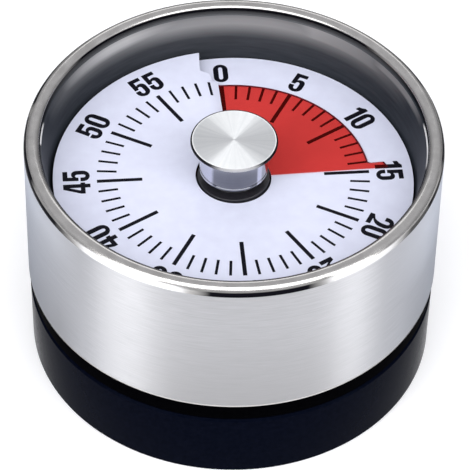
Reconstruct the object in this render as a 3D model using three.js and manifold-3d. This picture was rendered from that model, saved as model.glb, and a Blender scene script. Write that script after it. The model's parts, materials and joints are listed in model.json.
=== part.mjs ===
// A wind-up 60-minute kitchen timer: a steel can with a rolled rim over a black base, a white dial
// with a slit, a red disc that turns through the slit, a knob, and the clockwork under the dial.
// Millimetres, +Z up. The origin is the centre of the underside, and the dial's 0 mark is towards +Y.
import * as THREE from 'three';
import { mergeVertices } from 'three/addons/utils/BufferGeometryUtils.js';
import Module from 'manifold-3d';

const wasm = await Module();
wasm.setup();

// ---------------------------------------------------------------- driving dimensions
// Clearances
const fit = 0.3; // between two pieces that touch or are pressed together
const running = 0.5; // between the dial and the red disc that turns past it
const meshClearance = 0.1; // added to the distance between meshed gears

// Outer ring, whose radius follows from the movement and the case inside it
const ringHeight = 31.5;
const ringWall = 0.8;
const beadRadius = 1.6; // of the rolled rim, to the outside of the sheet
const beadTurn = 139; // degrees that the rim is rolled through

// Base
const baseInset = 0.25; // of its top edge inside the ring
const baseDraft = 0.38; // from its top edge in to its foot
const baseHeight = 14.5;
const baseWall = 2.4;
const baseEdge = 0.4;
const floorThickness = 2.8;
const baseLipHeight = 2;
const baseLipWall = 1.4;

// Inner case
const neckHeight = 4; // of the black groove between the base and the ring
const neckInset = 0.4; // of the groove inside the ring
const caseWall = 1.8;
const mouthWall = 2.15; // of the case round its mouth
const caseTopDrop = 1.7; // from the top of the rim to the top of the inner case
const caseTopChamfer = 0.3;
const seatWidth = 3.2; // of the ledge under the dial's edge
const deckDepth = 3.75; // from the middle of the dial down to the top of the deck
const deckThickness = 1.6;

// Dial and red disc
const dialDrop = 10.25; // from the top of the rim to the middle of the dial's helix
const dialInset = 2.15; // of the dial's edge inside the mouth, under the sloping wall
const dialThickness = 0.35;
const discThickness = 0.35;
const numeralBand = 7.8; // of the dial outside the red disc
const discSpan = 350; // degrees
const minutesShown = 14.75; // at rest
const tabReach = 3.6; // of the pointer tab beyond the red disc
const tabSweep = 3; // degrees
const slitWidth = 0.4; // degrees
const slitSetBack = 1.8; // degrees from the 0 mark back to the slit
const slitStep = 4.7; // degrees more that the slit's outer part is set back, round the numeral 0
const slitStepGap = 0.3; // from the red disc's edge to the step in the slit

// Knob
const hubRadius = 6.8;
const hubRise = 0.25; // of the black foot above the middle of the dial
const knobRadius = 8.15;
const knobRise = 9.4; // from the middle of the dial to the top of the knob
const knobChamfer = 0.25;
const knobEdge = 0.5;
const knobFootRise = 2;
const knobFootRadius = 6.05;
const knobFootEdge = 0.2;
const knobNeckRadius = 7;
const knobTopWall = 2.4;
const knobWall = 0.9;
const arborRadius = 1.6;
const arborFlat = 0.5; // depth of the flat that drives the knob
const arborGrip = 8; // length of the arbor inside the knob

// Movement frame
const plateRadius = 28.6;
const plateThickness = 1.2;
const plateSpacing = 15.1;
const plateRoom = 0.5; // from the plates to the screw bosses
const pillarRadius = 1.5;
const pillarInset = 2.2; // from the plates' edge to a pillar's axis
const pillarBearing = 23.5; // degrees, of the first of three
const pivotRadius = 0.9;
const bushWall = 1.1;

// Gears, and where each arbor lies from the one before it, in degrees from +X
const toothTop = 0.75; // modules above the pitch circle
const toothFoot = 1.15; // modules below it
const toothTopShare = 0.09; // half widths, as shares of the tooth pitch
const toothFootShare = 0.23;
const mainModule = 0.55;
const mainTeeth = 48;
const secondPinionTeeth = 8;
const secondBearing = 0;
const secondModule = 0.45;
const secondTeeth = 40;
const thirdPinionTeeth = 8;
const thirdBearing = 113;
const thirdModule = 0.4;
const thirdTeeth = 40;
const escapePinionTeeth = 8;
const escapeBearing = 133;
const escapeTeeth = 20;
const escapeRadius = 5.2;
const escapeDepth = 1;
const mainWheelThickness = 1.2;
const wheelThickness = 0.9;
const pinionLength = 2.4;

// Heights above the top of the back plate
const springLevel = 0.8;
const balanceLevel = 4.7;
const mainLevel = 7.2;
const escapeLevel = 9.6;
const secondLevel = 11.1;
const thirdLevel = 13.1;

// Mainspring
const springHeight = 5;
const springInner = 2.2;
const springOuter = 9.6;
const springStrip = 0.35;
const springTurns = 5;
const postRadius = 0.9;
const postBearing = 250;

// Ratchet and click
const ratchetTeeth = 12;
const ratchetRadius = 5;
const ratchetDepth = 1.1;
const ratchetThickness = 1;
const ratchetLift = 0.5; // above the main wheel
const clickRadius = 1.9;
const clickDistance = 8.6;
const clickLead = 50; // degrees from the click's point to its stud
const clickTip = 0.5; // of the click's point above the bottom of a tooth
const clickArmTop = 0.9; // of the arm's outer side beyond the teeth
const clickStudRadius = 0.8;
const clickSpringGap = 0.85; // room for the click to lift over a tooth
const clickSpringWidth = 0.5;
const clickSpringBlock = 1.4;
const clickSpringReach = 2.6; // along the arm, each way from the eye
const clipWidth = 1.3;
const clipThickness = 0.5;

// Pallet, balance and hairspring
const palletBearing = 168;
const palletDistance = 8;
const palletLift = 1.1; // of the lever above the escape wheel
const palletThickness = 0.6;
const palletPinRadius = 0.35;
const palletPinGap = 0.8; // from the escape wheel's teeth
const palletArmWidth = 1.2;
const forkReach = 4;
const balanceBearing = 205.5;
const balanceDistance = 7.8;
const balanceRadius = 6.3;
const balanceRim = 1.2;
const balanceThickness = 0.8;
const balanceBossRadius = 1.8;
const hairDrop = 1; // from the balance down to the hairspring
const hairHeight = 0.6;
const hairInner = 1.5;
const hairOuter = 4.4;
const hairStrip = 0.2;
const hairTurns = 3;

// Alarm
const camRadius = 6;
const camThickness = 1.2;
const camNotch = 1.4;
const strikeTeeth = 10;
const strikeRadius = 4.6;
const strikeDepth = 1;
const bellInset = 2.6; // from the plates' edge to the bell's outside
const bellWall = 0.8;
const bellHeight = 8.4;
const bellEdge = 2;
const bellPostHeight = 2.4;
const bellPostRadius = 4.2;
const hammerDistance = 17; // from the centre to the hammer's stud
const hammerBearing = 310;
const hammerStudRadius = 1.1;
const hammerEyeWall = 1.3;
const hammerArmWidth = 1.6;
const hammerHeadBearing = 265;
const hammerHeadRadius = 1.6;
const hammerHeadReach = 3; // below the lip of the bell
const hammerNoseBearing = 325;
const hammerTailBearing = 315; // from the strike wheel's centre
const hammerTipRadius = 0.9; // of the nose and the tail
const hammerSwing = 1.1; // of the head, out towards the bell
const hammerSpringStart = 3.2; // from the stud, along the arm to the head
const hammerSpringEnd = 9;
const hammerSpringGap = 0.6; // room for the arm to be kicked back
const hammerSpringWidth = 0.4;
const hammerSpringBlock = 1.6;

// Fasteners and magnets
const screwRadius = 1.2;
const screwHeadRadius = 2.4;
const screwHeadHeight = 1.6;
const bossRadius = 3;
const bossBearing = 90;
const bossGap = 0.7; // from a boss to the case's wall
const bossJoint = 2.2; // height above the base's top edge where the two sets of bosses meet
const caseScrewLength = 15;
const counterboreFloor = 4.4; // plastic above the head of a case screw
const pilotDepth = 11;
const bellPilotFloor = 1; // plastic left under the bell screw
const movementScrewLength = 7;
const movementHeadHeight = 0.8;
const magnetRadius = 6;
const magnetThickness = 1.8;
const magnetCircle = 21;
const magnetBearing = 30;
const magnetInset = 0.1;

// Facets
const bodySegments = 48;
const knobSegments = 36;
const discSegments = 24;
const smallSegments = 16;
const tinySegments = 10;
const sheetStep = 7.5; // degrees
const past = 1; // length that a cutting tool sticks out of what it cuts

// ---------------------------------------------------------------- derived heights
const neckBottom = baseHeight + fit;
const ringBottom = baseHeight + neckHeight;
const rimTop = ringBottom + ringHeight;
const dialMiddle = rimTop - dialDrop;
const deckTop = dialMiddle - deckDepth;
const deckBottom = deckTop - deckThickness;
const caseTop = rimTop - caseTopDrop;
const frontTop = deckBottom - fit;
const backTop = frontTop - plateThickness - plateSpacing;
const bossMeeting = baseHeight + bossJoint;
const caseScrewSeat = bossMeeting - counterboreFloor - fit;
const bellBottom = floorThickness + bellPostHeight + fit;
const bellTop = bellBottom + bellHeight;
const hubBottom = deckTop + 2 * fit;
const hubTop = dialMiddle + hubRise;
const knobTop = dialMiddle + knobRise;
const knobFoot = dialMiddle + knobFootRise;
const knobCeiling = knobTop - knobTopWall;

// Heights in the movement, from the top of its back plate
const backBottom = -plateThickness;
const frontBottom = plateSpacing;
const camTop = backBottom - fit;
const camBottom = camTop - camThickness;
const mainTop = mainLevel + mainWheelThickness;
const ratchetBottom = mainTop + ratchetLift;
const ratchetTop = ratchetBottom + ratchetThickness;
const palletLevel = escapeLevel + wheelThickness + palletLift;

// The cam's notch comes under the hammer's nose when the dial reads 0.
const camNotchBearing = hammerNoseBearing - 6 * minutesShown;

// ---------------------------------------------------------------- derived radii and places
const pillarCircle = plateRadius - pillarInset;
const bellRadius = plateRadius - bellInset;
const bossCircle = plateRadius + plateRoom + bossRadius + fit;
const caseInner = bossCircle + bossRadius + bossGap;
const caseOuter = caseInner + caseWall;
const ringRadius = caseOuter + fit + ringWall;
const neckRadius = ringRadius - neckInset;
const baseRadius = ringRadius - baseInset;
const baseFootRadius = baseRadius - baseDraft;
const caseTopRadius = caseOuter - mouthWall;
const dialRadius = caseTopRadius - dialInset;
const discRadius = dialRadius - numeralBand;
const screwHole = screwRadius + fit;
const pivotHole = pivotRadius + fit;
const arborHole = arborRadius + fit;
const bushHole = arborHole + bushWall + fit;

const radians = THREE.MathUtils.degToRad;
const centre = [0, 0];
const circumscribed = (radius, segments) => radius / Math.cos(Math.PI / segments);
const polar = (radius, degrees) => [radius * Math.cos(radians(degrees)), radius * Math.sin(radians(degrees))];

function step([x, y], distance, bearing) {
  const [dx, dy] = polar(distance, bearing);
  return [x + dx, y + dy];
}

const thirds = (radius, first) => [0, 120, 240].map((turn) => polar(radius, first + turn));
const meshDistance = (module, wheelTeeth, pinionTeeth) =>
  (module * (wheelTeeth + pinionTeeth)) / 2 + meshClearance;

const dialHole = circumscribed(hubRadius + fit, bodySegments);
const dialSeatRadius = circumscribed(dialRadius + fit, bodySegments);
const secondAt = polar(meshDistance(mainModule, mainTeeth, secondPinionTeeth), secondBearing);
const thirdAt = step(secondAt, meshDistance(secondModule, secondTeeth, thirdPinionTeeth), thirdBearing);
const escapeAt = step(thirdAt, meshDistance(thirdModule, thirdTeeth, escapePinionTeeth), escapeBearing);
const palletAt = step(escapeAt, palletDistance, palletBearing);
const balanceAt = step(palletAt, balanceDistance, balanceBearing);
const postAt = polar(springOuter + springStrip + fit + postRadius, postBearing);
const hammerAt = polar(hammerDistance, hammerBearing);
const bossesAt = thirds(bossCircle, bossBearing);
const pillarsAt = thirds(pillarCircle, pillarBearing);
const magnetsAt = thirds(magnetCircle, magnetBearing);

// ---------------------------------------------------------------- materials
const finish = (color, roughness, metalness) =>
  new THREE.MeshStandardMaterial({ color, roughness, metalness });
const steel = finish(0xb9b9bb, 0.35, 1);
const aluminium = finish(0xdfe3e4, 0.25, 1);
const blackPlastic = finish(0x101218, 0.25, 0);
const darkLiner = finish(0x1b1c22, 0.3, 0);
const dialWhite = finish(0xe4e8fb, 0.6, 0);
const clearRed = finish(0xd0302b, 0.2, 0);
const brass = finish(0xc7a35a, 0.35, 1);
const plated = finish(0xc6c8cc, 0.4, 1);
const springSteel = finish(0x50565f, 0.4, 1);
const acetal = finish(0xeceae2, 0.5, 0);
const magnetic = finish(0x9a9ca0, 0.3, 1);

// ---------------------------------------------------------------- scene graph
const timer = new THREE.Group();
const movement = new THREE.Group();
movement.position.z = backTop;
timer.add(movement);

// A piece stands at [x, y] and is turned about its own axis, in degrees.
function piece(name, geometry, material, { at = centre, height = 0, turn = 0, group = timer } = {}) {
  const mesh = new THREE.Mesh(geometry, material);
  mesh.name = name;
  mesh.position.set(...at, height);
  mesh.rotation.z = radians(turn);
  group.add(mesh);
}

const inMovement = (name, geometry, material, place = {}) =>
  piece(name, geometry, material, { ...place, group: movement });

// ---------------------------------------------------------------- solids
function signedVolume(geometry) {
  const position = geometry.attributes.position;
  const [a, b, c] = [new THREE.Vector3(), new THREE.Vector3(), new THREE.Vector3()];
  let sum = 0;
  for (let i = 0; i < geometry.index.count; i += 3) {
    a.fromBufferAttribute(position, geometry.index.getX(i));
    b.fromBufferAttribute(position, geometry.index.getX(i + 1));
    c.fromBufferAttribute(position, geometry.index.getX(i + 2));
    sum += a.dot(b.cross(c)) / 6;
  }
  return sum;
}

function facingOut(geometry) {
  if (signedVolume(geometry) > 0) return geometry;
  geometry.setIndex([...geometry.index.array].reverse());
  return geometry;
}

// A turned solid about Z, from [radius, height] points that end on the axis or close on themselves.
function turned(points, segments = smallSegments) {
  const profile = points.map(([radius, height]) => new THREE.Vector2(radius, height));
  return facingOut(new THREE.LatheGeometry(profile, segments).rotateX(Math.PI / 2));
}

const closed = (points) => [...points, points[0]];

function cylinder(radius, bottom, top, segments = smallSegments) {
  return turned([[0, bottom], [radius, bottom], [radius, top], [0, top]], segments);
}

// A tool for a round hole, with its flats at the radius.
const drill = (radius, bottom, top, segments = tinySegments) =>
  cylinder(circumscribed(radius, segments), bottom, top, segments);

const movedTo = (geometry, [x, y]) => geometry.translate(x, y, 0);

const outline = (points) => new THREE.Shape(points.map(([x, y]) => new THREE.Vector2(x, y)));

const circlePoints = (radius, segments, at) =>
  Array.from({ length: segments }, (_, i) => step(at, radius, (360 * i) / segments));

function roundHole(shape, radius, at = centre) {
  const points = circlePoints(circumscribed(radius, tinySegments), tinySegments, at).reverse();
  shape.holes.push(new THREE.Path(points.map(([x, y]) => new THREE.Vector2(x, y))));
  return shape;
}

const disc = (radius, segments) => outline(circlePoints(radius, segments, centre));

function extruded(shape, bottom, top) {
  const geometry = new THREE.ExtrudeGeometry(shape, { depth: top - bottom, bevelEnabled: false });
  return geometry.translate(0, 0, bottom);
}

function toSolid(geometry) {
  const bare = geometry.clone();
  bare.deleteAttribute('normal');
  bare.deleteAttribute('uv');
  const merged = mergeVertices(bare, 1e-5);
  const corners = [];
  for (let i = 0; i < merged.index.count; i += 3) {
    const [a, b, c] = [0, 1, 2].map((k) => merged.index.getX(i + k));
    if (a !== b && b !== c && c !== a) corners.push(a, b, c);
  }
  return new wasm.Manifold(new wasm.Mesh({
    numProp: 3,
    vertProperties: new Float32Array(merged.attributes.position.array),
    triVerts: new Uint32Array(corners),
  }));
}

function toGeometry(solid) {
  const { vertProperties, triVerts } = solid.getMesh();
  const geometry = new THREE.BufferGeometry();
  geometry.setAttribute('position', new THREE.BufferAttribute(vertProperties, 3));
  geometry.setIndex(new THREE.BufferAttribute(triVerts, 1));
  geometry.computeVertexNormals();
  return geometry;
}

const joined = (...geometries) => toGeometry(geometries.map(toSolid).reduce((sum, next) => sum.add(next)));
const cut = (geometry, ...tools) =>
  toGeometry(tools.map(toSolid).reduce((rest, next) => rest.subtract(next), toSolid(geometry)));

// ---------------------------------------------------------------- flat shapes
// A straight-sided toothed wheel with a tooth centred on +X.
function gearShape(module, teeth) {
  const radius = (module * teeth) / 2;
  const [foot, top] = [radius - toothFoot * module, radius + toothTop * module];
  const pitch = 360 / teeth;
  const points = [];
  for (let i = 0; i < teeth; i += 1) {
    points.push(polar(foot, (i - toothFootShare) * pitch), polar(top, (i - toothTopShare) * pitch));
    points.push(polar(top, (i + toothTopShare) * pitch), polar(foot, (i + toothFootShare) * pitch));
  }
  return outline(points);
}

// A saw-toothed wheel. Each tooth rises slowly counterclockwise from +X, then drops steeply.
function sawShape(radius, depth, teeth) {
  const pitch = 360 / teeth;
  const points = [];
  for (let i = 0; i < teeth; i += 1) {
    points.push(polar(radius - depth, i * pitch), polar(radius, (i + 0.85) * pitch));
    points.push(polar(radius - depth, (i + 0.95) * pitch));
  }
  return outline(points);
}

// A flat spiral strip, wound outwards from one radius to another.
function spiralShape(inner, outer, strip, turns, pointsPerTurn) {
  const count = Math.round(turns * pointsPerTurn);
  const side = (offset) =>
    Array.from({ length: count + 1 }, (_, i) =>
      polar(inner + offset + ((outer - inner) * i) / count, (360 * turns * i) / count));
  return outline([...side(0), ...side(strip).reverse()]);
}

// A strap of one width along three points, with a mitred bend at the middle one.
function strapShape([first, middle, last], width) {
  const half = width / 2;
  const across = (from, to) => {
    const length = Math.hypot(to[0] - from[0], to[1] - from[1]);
    return [((from[1] - to[1]) * half) / length, ((to[0] - from[0]) * half) / length];
  };
  const [a, b] = [across(first, middle), across(middle, last)];
  const mitre = half ** 2 / (half ** 2 + a[0] * b[0] + a[1] * b[1]);
  const bend = [(a[0] + b[0]) * mitre, (a[1] + b[1]) * mitre];
  const side = (sign) => [[first, a], [middle, bend], [last, b]].map(([point, by]) =>
    [point[0] + sign * by[0], point[1] + sign * by[1]]);
  return outline([...side(-1), ...side(1).reverse()]);
}

// Points beside a straight line: a distance along it, and a distance out to its left.
function besideLine([x, y], to) {
  const length = Math.hypot(to[0] - x, to[1] - y);
  const [ux, uy] = [(to[0] - x) / length, (to[1] - y) / length];
  return (along, out) => [x + along * ux - out * uy, y + along * uy + out * ux];
}

// ---------------------------------------------------------------- helical sheets
// The dial and the red disc share one helix, which rises clockwise from the slit at the 0 mark. Its
// rise in a full turn leaves the disc its running gaps above and below the dial.
const helixRise = dialThickness + discThickness + 2 * running;
const dialTop = (angle) => dialMiddle + helixRise * (angle / 360 - 0.5);
const discTop = (angle) => dialTop(angle) + running + discThickness;

// A sheet of cells between radii and between angles, which run clockwise from +Y. has(band, angle)
// says which cells are there.
function helicalSheet({ radii, angles, has, top, lower }) {
  const present = (band, cell) =>
    band >= 0 && band < radii.length - 1 && cell >= 0 && cell < angles.length - 1 &&
    has(band, (angles[cell] + angles[cell + 1]) / 2);
  const corner = (row, column, height) => [...polar(radii[row], 90 - angles[column]), height(angles[column])];
  const positions = [];
  const quad = (a, b, c, d) => positions.push(...a, ...b, ...c, ...a, ...c, ...d);
  for (let band = 0; band < radii.length - 1; band += 1) {
    for (let cell = 0; cell < angles.length - 1; cell += 1) {
      if (!present(band, cell)) continue;
      const corners = [[band, cell], [band, cell + 1], [band + 1, cell + 1], [band + 1, cell]];
      const above = corners.map(([row, column]) => corner(row, column, top));
      const below = corners.map(([row, column]) => corner(row, column, lower));
      quad(above[3], above[2], above[1], above[0]);
      quad(below[0], below[1], below[2], below[3]);
      const beyond = [[band - 1, cell], [band, cell + 1], [band + 1, cell], [band, cell - 1]];
      beyond.forEach(([nextBand, nextCell], side) => {
        const end = (side + 1) % 4;
        if (!present(nextBand, nextCell)) quad(above[side], above[end], below[end], below[side]);
      });
    }
  }
  const geometry = new THREE.BufferGeometry();
  geometry.setAttribute('position', new THREE.Float32BufferAttribute(positions, 3));
  const merged = mergeVertices(geometry, 1e-5);
  merged.computeVertexNormals();
  return facingOut(merged);
}

// Near-equal steps between the stops, which are kept.
function angleSteps(...stops) {
  const angles = [stops[0]];
  for (let i = 1; i < stops.length; i += 1) {
    const span = stops[i] - stops[i - 1];
    const count = Math.max(1, Math.round(span / sheetStep));
    for (let k = 1; k <= count; k += 1) angles.push(stops[i - 1] + (span * k) / count);
  }
  return angles;
}

function dialPlate() {
  const innerStart = slitWidth / 2 - slitSetBack;
  const innerEnd = 360 - slitWidth / 2 - slitSetBack;
  const sheet = helicalSheet({
    radii: [dialHole, discRadius + slitStepGap, dialRadius],
    angles: angleSteps(innerStart - slitStep, innerStart, innerEnd - slitStep, innerEnd),
    has: (band, angle) => (band === 0 ? angle > innerStart : angle < innerEnd - slitStep),
    top: dialTop,
    lower: (angle) => dialTop(angle) - dialThickness,
  });
  piece('dial_plate', sheet, dialWhite);
}

function redDisc() {
  const leading = minutesShown * 6;
  const sheet = helicalSheet({
    radii: [dialHole, discRadius, discRadius + tabReach],
    angles: angleSteps(leading - discSpan, leading - tabSweep, leading),
    has: (band, angle) => band === 0 || angle > leading - tabSweep,
    top: discTop,
    lower: (angle) => discTop(angle) - discThickness,
  });
  piece('red_disc', sheet, clearRed);
}

// ---------------------------------------------------------------- case
function outerRing() {
  const inner = ringRadius - ringWall;
  const arc = (radius, turns) => turns.map((turn) => {
    const [dx, dz] = polar(radius, turn);
    return [ringRadius - beadRadius + dx, rimTop - beadRadius + dz];
  });
  const outside = arc(beadRadius, [0, 22.5, 45, 67.5, 90, (90 + beadTurn) / 2, beadTurn]);
  const inside = arc(beadRadius - ringWall, [beadTurn, 90, 45, 0]);
  const profile = closed([[inner, ringBottom], [ringRadius, ringBottom], ...outside, ...inside]);
  piece('outer_ring', turned(profile, bodySegments), steel);
}

function innerCase() {
  const shell = turned(closed([
    [bushHole, deckBottom],
    [caseInner, deckBottom],
    [caseInner, neckBottom],
    [neckRadius, neckBottom],
    [neckRadius, ringBottom - fit],
    [caseOuter, ringBottom - fit],
    [caseOuter, caseTop],
    [caseTopRadius + caseTopChamfer, caseTop],
    [caseTopRadius, caseTop - caseTopChamfer],
    [dialSeatRadius, dialMiddle - helixRise],
    [dialSeatRadius, deckTop],
    [bushHole, deckTop],
  ]), bodySegments);
  const ledgeStart = slitWidth / 2 - slitSetBack - slitStep;
  const ledge = helicalSheet({
    radii: [dialRadius - seatWidth, caseInner],
    angles: angleSteps(ledgeStart, ledgeStart + 360 - 2 * slitWidth),
    has: () => true,
    top: (angle) => dialTop(angle) - dialThickness - fit,
    lower: () => deckTop - deckThickness / 2,
  });
  const boss = (at) => movedTo(cylinder(bossRadius, bossMeeting + fit, deckTop - deckThickness / 2), at);
  const pilot = (at) => movedTo(drill(screwHole, bossMeeting, bossMeeting + pilotDepth), at);
  const deckHole = (at) => movedTo(drill(screwHole, deckBottom - past, deckTop + past), at);
  const body = joined(shell, ledge, ...bossesAt.map(boss));
  piece('inner_case', cut(body, ...bossesAt.map(pilot), ...pillarsAt.map(deckHole)), darkLiner);
}

function baseShell() {
  const lipOuter = caseInner - fit;
  const lipInner = lipOuter - baseLipWall;
  const inner = baseRadius - baseWall;
  const shell = turned([
    [0, 0],
    [baseFootRadius - baseEdge, 0],
    [baseFootRadius, baseEdge],
    [baseRadius, baseHeight - baseEdge],
    [baseRadius - baseEdge, baseHeight],
    [lipOuter, baseHeight],
    [lipOuter, baseHeight + baseLipHeight],
    [lipInner, baseHeight + baseLipHeight],
    [lipInner, baseHeight - baseLipHeight],
    [inner, baseHeight - 2 * baseLipHeight],
    [inner, floorThickness],
    [bellPostRadius, floorThickness],
    [bellPostRadius, bellBottom - fit],
    [0, bellBottom - fit],
  ], bodySegments);
  const headRoom = bossMeeting - counterboreFloor;
  const boss = (at) => movedTo(cylinder(bossRadius + fit, floorThickness / 2, bossMeeting), at);
  const counterbore = (at) => movedTo(drill(screwHeadRadius + fit, -past, headRoom), at);
  const shankHole = (at) => movedTo(drill(screwHole, headRoom - past, bossMeeting + past), at);
  const pocketRoof = magnetInset + magnetThickness + fit;
  const pocket = (at) => movedTo(drill(magnetRadius + fit, -past, pocketRoof, discSegments), at);
  const bellPilot = drill(screwHole, bellPilotFloor, bellBottom + past);
  const screwHoles = bossesAt.flatMap((at) => [counterbore(at), shankHole(at)]);
  const body = joined(shell, ...bossesAt.map(boss));
  piece('base_shell', cut(body, ...screwHoles, ...magnetsAt.map(pocket), bellPilot), blackPlastic);
}

// A screw with its head's seat at height 0 and its shank pointing down.
function screw(headHeight, reach) {
  return turned([
    [0, -reach],
    [screwRadius, -reach],
    [screwRadius, 0],
    [screwHeadRadius, 0],
    [screwHeadRadius, headHeight / 2],
    [screwHeadRadius - headHeight / 2, headHeight],
    [0, headHeight],
  ], tinySegments);
}

function caseFasteners() {
  bossesAt.forEach((at, i) => {
    const upward = screw(screwHeadHeight, caseScrewLength).rotateX(Math.PI);
    piece(`case_screw_${i + 1}`, upward, plated, { at, height: caseScrewSeat });
  });
  magnetsAt.forEach((at, i) => {
    const magnet = cylinder(magnetRadius, magnetInset, magnetInset + magnetThickness, discSegments);
    piece(`magnet_${i + 1}`, magnet, magnetic, { at });
  });
}

// ---------------------------------------------------------------- knob
// A round bar with a flat along one side.
function flattedBar(radius, bottom, top) {
  const side = new THREE.BoxGeometry(2 * radius, 4 * radius, top - bottom + 2 * past);
  side.translate(2 * radius - arborFlat, 0, (top + bottom) / 2);
  return cut(cylinder(radius, bottom, top), side);
}

function knob() {
  const bore = knobFootRadius - knobWall;
  const edgeBottom = knobTop - knobChamfer - knobEdge;
  const cap = turned([
    [0, knobCeiling],
    [bore, knobCeiling],
    [bore, knobFoot],
    [knobFootRadius - knobFootEdge, knobFoot],
    [knobFootRadius, knobFoot + knobFootEdge],
    [knobNeckRadius, edgeBottom - (knobRadius - knobNeckRadius)],
    [knobRadius, edgeBottom],
    [knobRadius, knobTop - knobChamfer],
    [knobRadius - knobChamfer, knobTop],
    [0, knobTop],
  ], knobSegments);
  piece('knob_cap', cap, aluminium);

  const coreRadius = bore - fit;
  const core = turned([[0, hubBottom], [hubRadius, hubBottom], [hubRadius, hubTop], [coreRadius, hubTop],
    [coreRadius, knobCeiling - fit], [0, knobCeiling - fit]], knobSegments);
  const socket = flattedBar(arborHole, hubBottom - past, hubBottom + arborGrip + fit);
  piece('knob_insert', cut(core, socket), blackPlastic);

  const shaft = cylinder(arborRadius, backTop + camBottom - fit, hubBottom - fit);
  const drive = flattedBar(arborRadius, hubBottom - past, hubBottom + arborGrip);
  piece('main_arbor', joined(shaft, drive), plated);
}

// ---------------------------------------------------------------- movement frame
function plate(bottom, holes) {
  const shape = disc(plateRadius, bodySegments);
  holes.forEach(([radius, at]) => roundHole(shape, radius, at));
  return extruded(shape, bottom, bottom + plateThickness);
}

function movementFrame() {
  const pivots = [secondAt, thirdAt, escapeAt, palletAt, balanceAt].map((at) => [pivotHole, at]);
  const screwHoles = pillarsAt.map((at) => [screwHole, at]);
  inMovement('back_plate', plate(backBottom, [[arborHole, centre], ...pivots]), brass);
  inMovement('front_plate', plate(frontBottom, [[bushHole, centre], ...pivots, ...screwHoles]), brass);
  const bush = turned(closed([[arborHole, frontBottom - fit], [arborHole + bushWall, frontBottom - fit],
    [arborHole + bushWall, deckTop - backTop], [arborHole, deckTop - backTop]]));
  inMovement('arbor_bush', bush, plated);
  const pillarTop = frontBottom - fit;
  const bore = drill(screwHole, pillarTop - movementScrewLength - fit, pillarTop + past);
  const pillar = cut(cylinder(pillarRadius, fit, pillarTop), bore);
  const movementScrew = screw(movementHeadHeight, movementScrewLength);
  pillarsAt.forEach((at, i) => {
    inMovement(`pillar_${i + 1}`, pillar, plated, { at });
    inMovement(`movement_screw_${i + 1}`, movementScrew, plated, { at, height: deckTop + fit - backTop });
  });
}

// ---------------------------------------------------------------- power
function power() {
  const coil = spiralShape(springInner, springOuter, springStrip, springTurns, 14);
  const springTop = springLevel + springHeight;
  inMovement('mainspring', extruded(coil, springLevel, springTop), springSteel, { turn: postBearing });
  inMovement('spring_post', cylinder(postRadius, fit, springTop, tinySegments), plated, { at: postAt });

  const clickBearing = secondBearing + 180 + clickLead;
  const body = extruded(roundHole(gearShape(mainModule, mainTeeth), arborHole), mainLevel, mainTop);
  const studAt = polar(clickDistance, clickBearing - secondBearing);
  const stud = movedTo(cylinder(clickStudRadius, mainTop - fit, ratchetTop + fit, tinySegments), studAt);
  inMovement('main_wheel', joined(body, stud), brass, { turn: secondBearing });

  const saw = roundHole(sawShape(ratchetRadius, ratchetDepth, ratchetTeeth), arborHole);
  const ratchetTurn = { turn: secondBearing + 180 };
  inMovement('ratchet_wheel', extruded(saw, ratchetBottom, ratchetTop), plated, ratchetTurn);

  const clip = roundHole(disc(arborHole + clipWidth, smallSegments), arborHole);
  inMovement('arbor_clip', extruded(clip, mainLevel - fit - clipThickness, mainLevel - fit), springSteel);

  click(clickBearing);
}

// The click reaches from its stud into a ratchet tooth. Its spring lies along its outer side.
function click(bearing) {
  const place = { at: polar(clickDistance, bearing), turn: bearing };
  const nearTooth = (radius, lead) => step([-clickDistance, 0], radius, lead - clickLead);
  const armEnd = nearTooth(ratchetRadius + clickArmTop, 3);
  const armStart = [0, -clickRadius];
  const arm = outline([
    nearTooth(ratchetRadius - ratchetDepth + clickTip, 4),
    armEnd,
    armStart,
    [clickRadius, 0],
    [0, clickRadius],
    [-clickRadius, 0],
    nearTooth(ratchetRadius + clickArmTop / 2, 27),
    nearTooth(ratchetRadius, 15),
  ]);
  roundHole(arm, clickStudRadius + fit);
  inMovement('click', extruded(arm, ratchetBottom, ratchetTop), plated, place);

  const beside = besideLine(armStart, armEnd);
  const [reach, gap, block] = [clickSpringReach, clickSpringGap, clickSpringBlock];
  const leaf = outline([
    beside(reach, gap),
    beside(-reach, gap),
    beside(-reach, gap + block),
    beside(block - reach, gap + block),
    beside(block - reach, gap + clickSpringWidth),
    beside(reach, gap + clickSpringWidth),
  ]);
  inMovement('click_spring', extruded(leaf, mainTop + fit, ratchetTop), springSteel, place);
}

// ---------------------------------------------------------------- train
// An arbor between the plates, with a pinion cut on it whose gap faces the wheel that drives it.
function pinionArbor(module, teeth, wheelMiddle, driverBearing, bottom = backBottom) {
  const staff = cylinder(pivotRadius, bottom, frontBottom + plateThickness, tinySegments);
  const low = wheelMiddle - pinionLength / 2;
  const leaves = extruded(gearShape(module, teeth), low, low + pinionLength);
  return joined(staff, leaves.rotateZ(radians(driverBearing + 180 + 180 / teeth)));
}

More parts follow.
